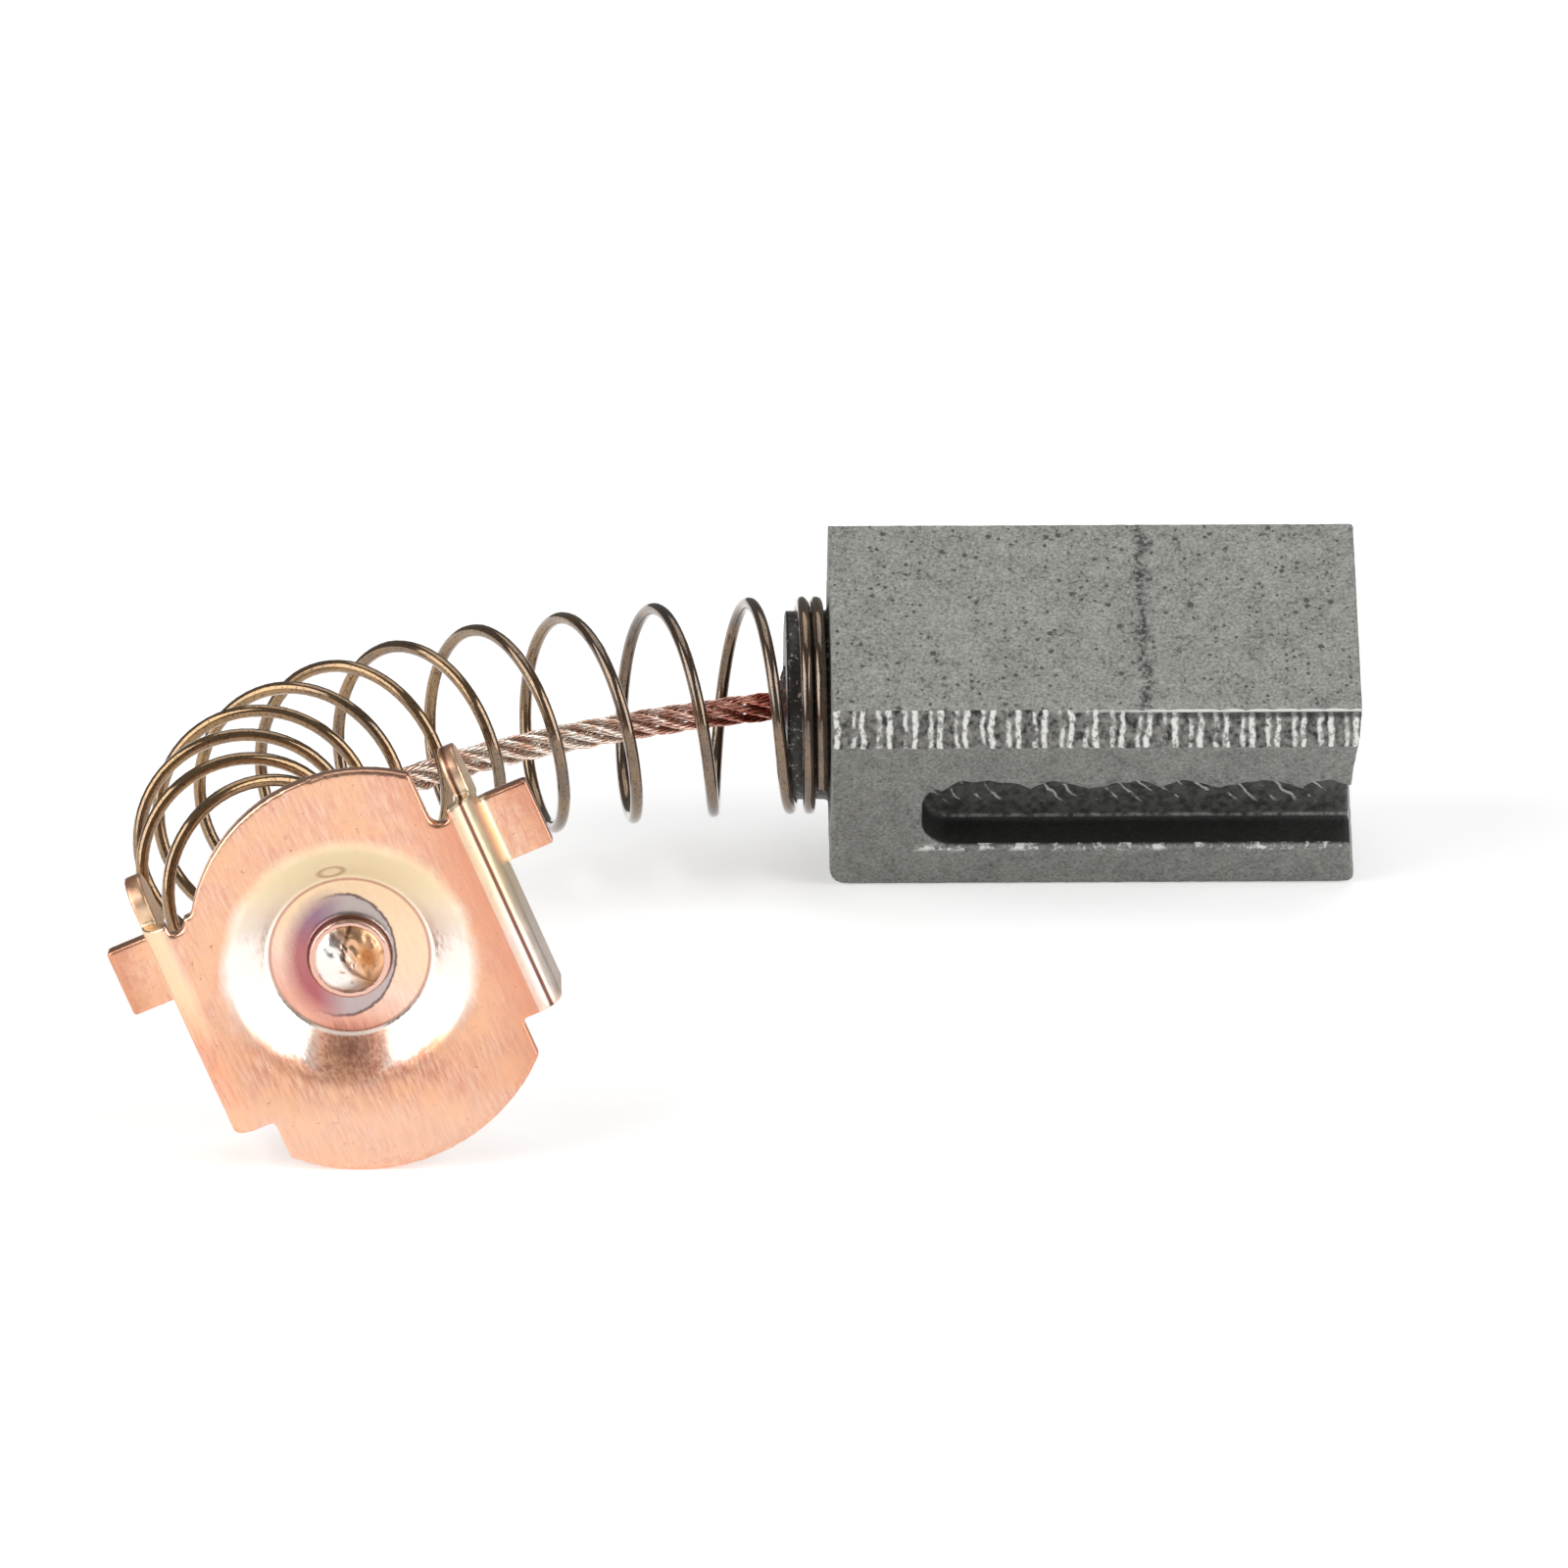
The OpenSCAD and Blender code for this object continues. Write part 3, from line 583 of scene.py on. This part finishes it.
    # The weld's heat left a ring on the flat: grey at the upper right, violet and red at the left,
    # with a dark edge; the collar itself is pale pink
    radius = distance(
        tree, addNode(tree, "Math", {0: right, 1: -sheet["heatX"]}, operation="ADD"),
        addNode(tree, "Math", {0: up, 1: sheet["heatShare"]}, operation="MULTIPLY"))
    ragged = addNode(tree, "Math", {0: speck, 1: 0.12, 2: radius}, operation="MULTIPLY_ADD")
    sunk = addNode(tree, "Math", {0: z, 1: -0.25}, operation="LESS_THAN")
    leftward = addNode(tree, "MapRange", {
        "Value": right, "From Min": -0.85, "From Max": -0.05, "To Min": 1.0, "To Max": 0.0})
    soft = addNode(tree, "MapRange", {
        "Value": ragged, "From Min": sheet["heatRing"] - 0.22, "From Max": sheet["heatRing"] + 0.23,
        "To Min": 0.82, "To Max": 0.0})
    crisp = addNode(tree, "MapRange", {
        "Value": ragged, "From Min": sheet["heatRing"] - 0.01, "From Max": sheet["heatRing"] + 0.02,
        "To Min": 0.85, "To Max": 0.0})
    tinted = addNode(tree, "MixRGB", {"Fac": leftward, "Color1": crisp, "Color2": soft})
    tinted = addNode(tree, "Math", {0: tinted, 1: sunk}, operation="MULTIPLY")
    high = addNode(tree, "MapRange", {"Value": up, "From Min": 0.2, "From Max": 1.1})
    violet = addNode(tree, "MixRGB", {
        "Fac": high, "Color1": linear("#a54c5c"), "Color2": linear("#7a5680")})
    tint = addNode(tree, "MixRGB", {"Fac": leftward, "Color1": linear("#b3a9ab"), "Color2": violet})
    outline = band(tree, ragged, sheet["heatRing"], 0.01, 0.05, 0.85)
    rightward = addNode(tree, "MapRange", {"Value": right, "From Min": -0.9, "From Max": 0.0})
    for mask in (rightward, sunk):
        outline = addNode(tree, "Math", {0: outline, 1: mask}, operation="MULTIPLY")
    collar = addNode(tree, "MapRange", {
        "Value": fromMiddle, "From Min": cap["collar"], "From Max": cap["collar"] + 0.05,
        "To Min": 0.85, "To Max": 0.0})
    collar = addNode(tree, "Math", {0: collar, 1: sunk}, operation="MULTIPLY")
    seam = band(tree, fromMiddle, cap["collar"], 0.02, 0.06, 0.8)

    # A small oval dint left by the press, above the dish's middle
    place, turn, size = sheet["dint"]
    oval = addNode(tree, "Mapping", {
        "Vector": local, "Location": place, "Rotation": (0, 0, math.radians(turn)), "Scale": size},
        vector_type="TEXTURE")
    oval = addNode(tree, "VectorMath", {0: oval}, operation="LENGTH").node.outputs["Value"]
    ring = band(tree, oval, 1.0, 0.05, 0.4, 0.5)

    for mask, coat in (
            (burnishAndHighlight, skin), (redder, linear("#dc9478")), (cream, linear("#f6d8b2")),
            (flush, linear("#e39c86")), (creaseShadeAndStreaks, linear("#a65f4c")), (low, linear("#fde0ca")),
            (paintedDarkReflection, linear("#85564e")), (foldShadeLine, linear("#5c2f26")), (brownerRim, linear("#cc8468")),
            (footHighlight, linear("#fff6ea")), (tinted, tint), (outline, linear("#5d4244")),
            (collar, linear("#eec0ae")), (seam, linear("#6d4640")), (ring, linear("#b57a60"))):
        colour = addNode(tree, "MixRGB", {"Fac": mask, "Color1": colour, "Color2": coat})

    # Brushed and burnished places gleam; the folds, the dull places and the wall's upper half are rougher
    gloss = addNode(tree, "MapRange", {
        "Value": streaks, "From Min": 0.3, "From Max": 0.7, "To Min": 0.34, "To Max": 0.22})
    for mask, change in ((burnishAndHighlight, -0.10), (dull, 0.26), (fold, 0.22)):
        gloss = addNode(tree, "Math", {0: mask, 1: change, 2: gloss}, operation="MULTIPLY_ADD")
    matt = addNode(tree, "MapRange", {
        "Value": up, "From Min": 0.4, "From Max": 1.8, "To Min": 0.0, "To Max": 0.42})
    matt = addNode(tree, "Math", {0: matt, 1: wall}, operation="MULTIPLY")
    gloss = addNode(tree, "Math", {0: gloss, 1: matt}, operation="ADD")
    oxide = addNode(tree, "Math", {0: upper, 1: wall}, operation="MULTIPLY")
    metal = addNode(tree, "MapRange", {"Value": oxide, "To Min": 1.0, "To Max": 0.7})
    brushed = addNode(tree, "Bump", {"Height": streaks, "Strength": 0.35, "Distance": mm(0.01)})
    waved = addNode(tree, "Bump", {
        "Height": cloud, "Strength": 0.25, "Distance": mm(0.08), "Normal": brushed})
    dinted = addNode(tree, "Bump", {"Height": ring, "Strength": 0.5, "Distance": mm(0.02), "Normal": waved})
    return finished(material, {
        "Base Color": colour, "Metallic": metal, "Roughness": gloss, "Normal": dinted})


def springWire():
    # Drawn and oil-tempered spring steel: brown-black skin, straw coloured towards the cap, under a thin
    # film of oil
    material, tree = newMaterial("tempered_spring_wire")
    place = objectPlace(tree)
    x = addNode(tree, "SeparateXYZ", {0: place})
    stain = addNode(tree, "TexNoise", {"Vector": place, "Scale": 0.7, "Detail": 4.0, "Roughness": 0.6})
    grain = addNode(tree, "TexNoise", {"Vector": place, "Scale": 14.0, "Detail": 3.0, "Roughness": 0.7})
    along = addNode(tree, "MapRange", {
        "Value": x, "From Min": -29.0, "From Max": -19.0, "To Min": 0.55, "To Max": 0.0})
    patches = addNode(tree, "MapRange", {
        "Value": stain, "From Min": 0.35, "From Max": 0.65, "To Min": 0.0, "To Max": 0.5})
    straw = addNode(tree, "Math", {0: along, 1: patches}, operation="ADD")
    scale = addNode(tree, "MapRange", {
        "Value": grain, "From Min": 0.36, "From Max": 0.46, "To Min": 0.75, "To Max": 0.0})
    colour = addNode(tree, "MixRGB", {
        "Fac": straw, "Color1": linear("#6f6259"), "Color2": linear("#a5835a")})
    colour = addNode(tree, "MixRGB", {"Fac": scale, "Color1": colour, "Color2": linear("#2b211b")})
    rough = addNode(tree, "MapRange", {
        "Value": grain, "From Min": 0.3, "From Max": 0.7, "To Min": 0.17, "To Max": 0.09})
    scaly = addNode(tree, "Bump", {"Height": grain, "Strength": 0.15, "Distance": mm(0.006)})
    return finished(material, {
        "Base Color": colour, "Metallic": 0.9, "Roughness": rough, "Normal": scaly,
        "Coat Weight": 0.8, "Coat Roughness": 0.05})


def strandedCopper():
    # Bare hair-fine copper wires: red where they leave the block, paler towards the cap
    material, tree = newMaterial("bare_stranded_copper")
    place = objectPlace(tree)
    x = addNode(tree, "SeparateXYZ", {0: place})
    stain = addNode(tree, "TexNoise", {"Vector": place, "Scale": 2.2, "Detail": 4.0, "Roughness": 0.65})
    along = addNode(tree, "MapRange", {
        "Value": x, "From Min": -21.0, "From Max": -16.6, "To Min": 1.0, "To Max": 0.0})
    fresh = addNode(tree, "MapRange", {"Value": stain, "From Min": 0.38, "From Max": 0.62})
    red = addNode(tree, "MixRGB", {"Fac": fresh, "Color1": linear("#a84834"), "Color2": linear("#f8b8a4")})
    pale = addNode(tree, "MixRGB", {"Fac": fresh, "Color1": linear("#ddb49c"), "Color2": linear("#fff8ee")})
    colour = addNode(tree, "MixRGB", {"Fac": along, "Color1": red, "Color2": pale})
    rough = addNode(tree, "MapRange", {
        "Value": stain, "From Min": 0.3, "From Max": 0.7, "To Min": 0.34, "To Max": 0.18})
    surfaceDetail = addNode(tree, "Bump", {"Height": stain, "Strength": 0.2, "Distance": mm(0.01)})
    return finished(material, {"Base Color": colour, "Metallic": 1.0, "Roughness": rough, "Normal": surfaceDetail})


def tampedPowder():
    # Copper-graphite powder tamped hard round the shunt: black grains with copper sparks
    material, tree = newMaterial("tamped_copper_graphite")
    place = objectPlace(tree)
    grains = addNode(tree, "TexVoronoi", {"Vector": place, "Scale": 9.0})
    sparks = addNode(tree, "TexNoise", {"Vector": place, "Scale": 7.0, "Detail": 3.0, "Roughness": 0.7})
    copper = addNode(tree, "MapRange", {"Value": sparks, "From Min": 0.55, "From Max": 0.62})
    colour = addNode(tree, "MixRGB", {
        "Fac": copper, "Color1": linear("#2a1c17"), "Color2": linear("#a1604a")})
    lumpy = addNode(tree, "Bump", {"Height": grains, "Strength": 0.8, "Distance": mm(0.06)})
    metal = addNode(tree, "MapRange", {"Value": copper, "To Min": 0.2, "To Max": 0.9})
    return finished(material, {"Base Color": colour, "Metallic": metal, "Roughness": 0.45, "Normal": lumpy})


weld = {
    "amber": ((0.48, -0.10, 0), (0.26, 0.36, 9)),  # place and half sizes of the amber spot
    "cleftX": -0.10,
    "cleftBow": 0.7,
    "footY": -0.75,
}


def fusedCopper():
    # Strand ends fused to the collar by resistance welding: copper, painted near white on its left as a
    # painted highlight, with an amber and brown skin
    material, tree = newMaterial("fused_copper")
    local = objectPlace(tree, place=capPlace, turn=(90, -cap["turn"], 0))
    x, y = addNode(tree, "SeparateXYZ", {0: local}).node.outputs[:2]
    runs = addNode(tree, "TexNoise", {
        "Vector": local, "Scale": 1.5, "Detail": 3.0, "Roughness": 0.5, "Distortion": 0.5})
    side = addNode(tree, "MapRange", {"Value": x, "From Min": -0.25, "From Max": 0.2})
    place, size = weld["amber"]
    spot = addNode(tree, "Mapping", {
        "Vector": local, "Location": place, "Scale": size}, vector_type="TEXTURE")
    spot = addNode(tree, "VectorMath", {0: spot}, operation="LENGTH").node.outputs["Value"]
    amber = addNode(tree, "MapRange", {
        "Value": spot, "From Min": 0.5, "From Max": 1.2, "To Min": 0.85, "To Max": 0.0})

    # Brown in the bowed cleft between two melted lumps, at the foot and in veins
    bowed = addNode(tree, "Math", {0: y, 1: y}, operation="MULTIPLY")
    bowed = addNode(tree, "Math", {0: bowed, 1: -weld["cleftBow"], 2: x}, operation="MULTIPLY_ADD")
    cleft = band(tree, bowed, weld["cleftX"], 0.03, 0.12, 0.8)
    foot = addNode(tree, "MapRange", {
        "Value": y, "From Min": weld["footY"], "From Max": weld["footY"] + 0.3,
        "To Min": 0.7, "To Max": 0.0})
    vein = addNode(tree, "MapRange", {
        "Value": runs, "From Min": 0.36, "From Max": 0.46, "To Min": 0.7, "To Max": 0.0})
    for mask in (cleft, foot):
        vein = addNode(tree, "Math", {0: vein, 1: mask}, operation="MAXIMUM")
    # near white on the left is a painted highlight, turning to copper on the right
    colour = linear("#f5efe8")
    for mask, coat in ((side, "#e8b58c"), (amber, "#b06a34"), (vein, "#7a5038")):
        colour = addNode(tree, "MixRGB", {"Fac": mask, "Color1": colour, "Color2": linear(coat)})
    rough = addNode(tree, "MapRange", {
        "Value": runs, "From Min": 0.3, "From Max": 0.7, "To Min": 0.42, "To Max": 0.25})
    blobs = addNode(tree, "Bump", {"Height": runs, "Strength": 0.6, "Distance": mm(0.08)})
    return finished(material, {"Base Color": colour, "Metallic": 1.0, "Roughness": rough, "Normal": blobs})


finishes = {
    "carbon": carbonGraphite(),
    "powder": tampedPowder(),
    "sheet": copperSheet(),
    "fused": fusedCopper(),
    "wire": springWire(),
    "strand": strandedCopper(),
}
print("materials made:", ", ".join(finishes))


def addPiece(name, mesh, finish, slotName, *nodes):
    piece = bpy.data.objects.new(name, mesh)
    mesh.materials.clear()
    mesh.materials.append(finishes[finish])
    bpy.context.scene.collection.objects.link(piece)
    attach(piece, "root")
    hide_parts(*nodes)
    print(name, "made:", len(mesh.polygons), "faces")


def smoothed(mesh):
    for face in mesh.polygons:
        face.use_smooth = True
    return mesh


def meshOf(name, shape, place):  # a finished bmesh as a mesh, from mm in a piece's own frame
    bmesh.ops.transform(shape, matrix=place @ Matrix.Scale(mm(1), 4), verts=shape.verts)
    mesh = bpy.data.meshes.new(name)
    shape.to_mesh(mesh)
    shape.free()
    return smoothed(mesh)


def mergedCopy(node, place):  # a node's solid as a bmesh, in mm in a piece's own frame
    shape = bmesh.new()
    shape.from_mesh(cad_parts[node].data)
    bmesh.ops.remove_doubles(shape, verts=shape.verts, dist=mm(0.001))
    bmesh.ops.transform(shape, matrix=Matrix.Scale(1 / mm(1), 4) @ place.inverted(), verts=shape.verts)
    return shape


def remeshed(shape, voxel):  # the same form in even small faces
    mesh = bpy.data.meshes.new("voxels")
    shape.to_mesh(mesh)
    shape.free()
    holder = bpy.data.objects.new("voxels", mesh)
    bpy.context.scene.collection.objects.link(holder)
    modifier = holder.modifiers.new("voxels", "REMESH")
    modifier.mode = "VOXEL"
    modifier.voxel_size = voxel
    bpy.context.view_layer.update()
    even = bmesh.new()
    even.from_object(holder, bpy.context.evaluated_depsgraph_get())
    bpy.data.objects.remove(holder)
    return even


def wireMesh(name, lines, radius, sides):  # round wires swept along lists of points, as one mesh
    curve = bpy.data.curves.new(name, "CURVE")
    curve.dimensions = "3D"
    curve.bevel_depth = radius
    curve.bevel_resolution = max(sides // 4 - 1, 0)
    curve.use_fill_caps = True
    for points in lines:
        spline = curve.splines.new("POLY")
        spline.points.add(len(points) - 1)
        for spot, point in zip(spline.points, points):
            spot.co = (*point, 1)
    holder = bpy.data.objects.new(name, curve)
    bpy.context.scene.collection.objects.link(holder)
    bpy.context.view_layer.update()
    mesh = bpy.data.meshes.new_from_object(holder)
    bpy.data.objects.remove(holder)
    return smoothed(mesh)


milled = {
    "voxel": 0.09,  # mm between the points of its skin
    "scallop": 0.34,  # depth of the chips along the slot's upper lip
    "scallopReach": (0.25, 0.5),  # how far they go up and into the block
    "waviness": 0.008,
    # x where a worn lower corner starts, the way into the block, radius
    "shoulderCorner": (-block["length"], 1, 0.6),
    "contactCornerRadius": 0.42,
}


def milledBlock():
    shape = remeshed(mergedCopy("carbon_block", blockFrame), milled["voxel"])
    radius = milled["contactCornerRadius"]
    contactX = max(vert.co.x for vert in shape.verts if vert.co.z < radius - topZ)
    corners = (milled["shoulderCorner"], (contactX, -1, radius))
    reachUp, reachIn = milled["scallopReach"]
    for vert in shape.verts:
        x, y, z = vert.co
        # The slot's upper lip is chipped back in scallops
        scallop = abs(math.sin(x * 1.7 + 1.6 * noise.noise((x * 0.5, 0.3, 4.1))))
        scallop += 0.35 * noise.noise((x * 2.6, 5.0, 1.0)) - 0.7
        near = math.exp(-((z - slotTopZ) / reachUp) ** 2) * max(0, 1 - (y - faceY) / reachIn)
        if slotEndX - 0.3 < x < 0.3:
            vert.co.z += milled["scallop"] * scallop * near
        # The lower corners at both ends are worn round, but not the boss
        for end, inward, radius in corners:
            dx = radius - (x - end) * inward
            dz = radius - (z + topZ)
            out = math.hypot(dx, dz)
            if dx > 0 and dz > 0 and out > radius and x > -block["length"] - 0.2:
                vert.co.x += inward * dx * (1 - radius / out)
                vert.co.z += dz * (1 - radius / out)
        vert.co += vert.normal * milled["waviness"] * noise.fractal(vert.co * 3.0, 0.6, 2.0, 3)
    return meshOf("milled_carbon_block", shape, blockFrame)


addPiece("milled_carbon_block", milledBlock(), "carbon", "carbon", "carbon_block")

plug = {"outer": 1.08, "inner": 0.44, "crown": 0.12, "rim": -0.02, "depth": 0.5, "grain": 0.06}


def tampedPlug():  # a granular crown round the shunt, in the boss's face
    shape = bmesh.new()
    inner, outer = plug["inner"], plug["outer"]
    section = [(inner, -plug["depth"]), (inner, 0.3 * plug["crown"]), ((outer + inner) / 2, plug["crown"]),
               (outer, plug["rim"]), (outer, -plug["depth"])]
    ring = [shape.verts.new((0, r, h)) for r, h in section]
    edges = [shape.edges.new((a, b)) for a, b in zip(ring, ring[1:] + ring[:1])]
    bmesh.ops.spin(shape, geom=ring + edges, cent=(0, 0, 0), axis=(0, 0, 1),
                   angle=2 * math.pi, steps=48, use_merge=True)
    bmesh.ops.remove_doubles(shape, verts=shape.verts, dist=0.001)
    bmesh.ops.subdivide_edges(shape, edges=shape.edges, cuts=3, use_grid_fill=True)
    bmesh.ops.recalc_face_normals(shape, faces=shape.faces)
    for vert in shape.verts:
        if vert.co.z > -0.1:
            vert.co.z += plug["grain"] * noise.fractal(vert.co * 5.0, 0.5, 2.0, 3)
    inBoss = Matrix.Translation((-mm(block["length"] + block["bossLength"]), 0, 0))
    return meshOf("tamped_powder", shape, inBoss @ Matrix.Rotation(math.radians(-90), 4, "Y"))


addPiece("tamped_powder", tampedPlug(), "powder", "tamping", "tamping_plug")

pressed = {"voxel": 0.06, "smoothing": 0.5, "rounds": 2, "ripple": 0.012}


def pressedCap():
    shape = remeshed(mergedCopy("terminal_cap", capFrame), pressed["voxel"])
    for _ in range(pressed["rounds"]):
        bmesh.ops.smooth_vert(shape, verts=shape.verts, factor=pressed["smoothing"],
                              use_axis_x=True, use_axis_y=True, use_axis_z=True)
    for vert in shape.verts:  # thin pressed sheet is never quite flat
        vert.co.z += pressed["ripple"] * noise.noise(vert.co * 0.8)
    return meshOf("pressed_copper_cap", shape, capFrame)


addPiece("pressed_copper_cap", pressedCap(), "sheet", "copper_sheet", "terminal_cap")

button = {
    "radius": 0.93,
    "height": 0.26,
    "rise": 0.29,  # of its middle above the dish's flat
    "lumps": 0.12,
    "cleftX": 0.06,
    "cleftBow": 0.25,
    "cleftWidth": 0.08,
    "cleftDepth": 0.07,
}


def weldedButton():  # strand ends melted together inside the collar
    shape = bmesh.new()
    bmesh.ops.create_icosphere(shape, subdivisions=5, radius=1)
    bmesh.ops.scale(shape, vec=(button["radius"], button["radius"], button["height"]), verts=shape.verts)
    for vert in shape.verts:
        x, y, z = vert.co
        away = math.hypot(x, y) / button["radius"]
        lump = noise.fractal(vert.co * 2.6 + Vector((3, 1, 7)), 0.6, 2.0, 3)
        offCleft = (x - button["cleftX"] + button["cleftBow"] * y ** 2) / button["cleftWidth"]
        cleft = button["cleftDepth"] * math.exp(-offCleft ** 2)
        vert.co.z += (1 - away) * button["lumps"] * lump - cleft * (1 - away ** 2)
    bmesh.ops.translate(shape, vec=(0, 0, button["rise"] - cap["dishDepth"]), verts=shape.verts)
    return meshOf("fused_strand_ends", shape, capFrame)


addPiece("fused_strand_ends", weldedButton(), "fused", "fused_copper", "weld_button")

spring = {
    "wire": 0.35,
    "radius": 2.845,
    "closedTurns": 1.9,
    "openTurns": 13.9,
    "endTurns": 1,
    "closedPitch": 0.38,
    "blend": 0.6,  # turns over which the pitch changes
    "start": 236,  # degrees from straight up
    "lean": 5,  # degrees
    "leanShare": 0.55,  # of the route, over which the turns lean
    "seatGap": 0.03,
    "seatDepth": 1.174,  # last turn behind the cap's face
    "stepsPerTurn": 60,
}


def softRamp(x, width):  # 0 below zero and x above it, with a round bend
    if x <= -width / 2:
        return 0
    return x if x >= width / 2 else (x + width / 2) ** 2 / (2 * width)


def pressureSpring():
    opening = spring["closedTurns"]
    closing = opening + spring["openTurns"]
    turns = closing + spring["endTurns"]
    start = spring["wire"] / 2 + spring["seatGap"]
    spare = routeLength - spring["seatDepth"] - start - spring["closedPitch"] * turns
    gain = spare / spring["openTurns"]
    line = []
    count = round(turns * spring["stepsPerTurn"])
    for i in range(count + 1):
        k = turns * i / count
        opened = softRamp(k - opening, spring["blend"]) - softRamp(k - closing, spring["blend"])
        s = start + spring["closedPitch"] * k + gain * opened
        leaning = math.sin(math.pi * min(climbShare(s) / spring["leanShare"], 1))
        lean = math.radians(spring["lean"]) * leaning
        line.append(beside(s, spring["radius"], math.radians(360 * k + spring["start"]), lean) / 1000)
    return wireMesh("pressure_spring", [line], mm(spring["wire"] / 2), 16)


addPiece("pressure_spring", pressureSpring(), "wire", "spring_wire", "compression_spring")

shunt = {
    "strands": 6,
    "strandRadius": 0.29,  # from the rope's middle to a strand's
    "lay": 5,  # length in which the strands go round once
    "wires": 7,
    "wire": 0.078,
    "wireLay": 1.7,
    "spread": 1.02,  # of the wires round a strand's middle, in wire diameters
    "loose": 0.12,
    "from": -2.09,
    "to": 34.95,
    "bow": 1.5,  # to the front of the route
    "sag": 0.35,
    "points": 260,
}


def ropeMiddle(s):
    share = min(max((s - block["bossLength"]) / (shunt["to"] - block["bossLength"]), 0), 1)
    pull = math.sin(math.pi * share)
    return beside(s, shunt["bow"] * pull, math.radians(-90)) - Vector((0, 0, shunt["sag"] * pull))


def strandWires(index):  # a centre wire and those laid round it, along one strand of the rope
    lines = []
    ringRadius = shunt["wire"] * shunt["spread"]
    for wire in range(shunt["wires"]):
        points = []
        for i in range(shunt["points"]):
            s = shunt["from"] + (shunt["to"] - shunt["from"]) * i / (shunt["points"] - 1)
            point = ropeMiddle(s)
            if index > 0:
                ropeTurn = 2 * math.pi * (s / shunt["lay"] + (index - 1) / shunt["strands"])
                point += shunt["strandRadius"] * outward(s, ropeTurn)
            if wire > 0:
                strandTurn = -2 * math.pi * (s / shunt["wireLay"] - wire / (shunt["wires"] - 1))
                loose = 1 + shunt["loose"] * noise.noise((s * 0.9, index * 3.1, wire * 1.7))
                point += ringRadius * loose * outward(s, strandTurn)
            points.append(point / 1000)
        lines.append(points)
    return lines


for index in range(shunt["strands"] + 1):
    node = f"shunt_strand_{index}" if index else "shunt_core"
    name = f"shunt_wires_{index}" if index else "shunt_core_wires"
    mesh = wireMesh(name, strandWires(index), mm(shunt["wire"] / 2), 4)
    addPiece(name, mesh, "strand", "copper_strand", node)
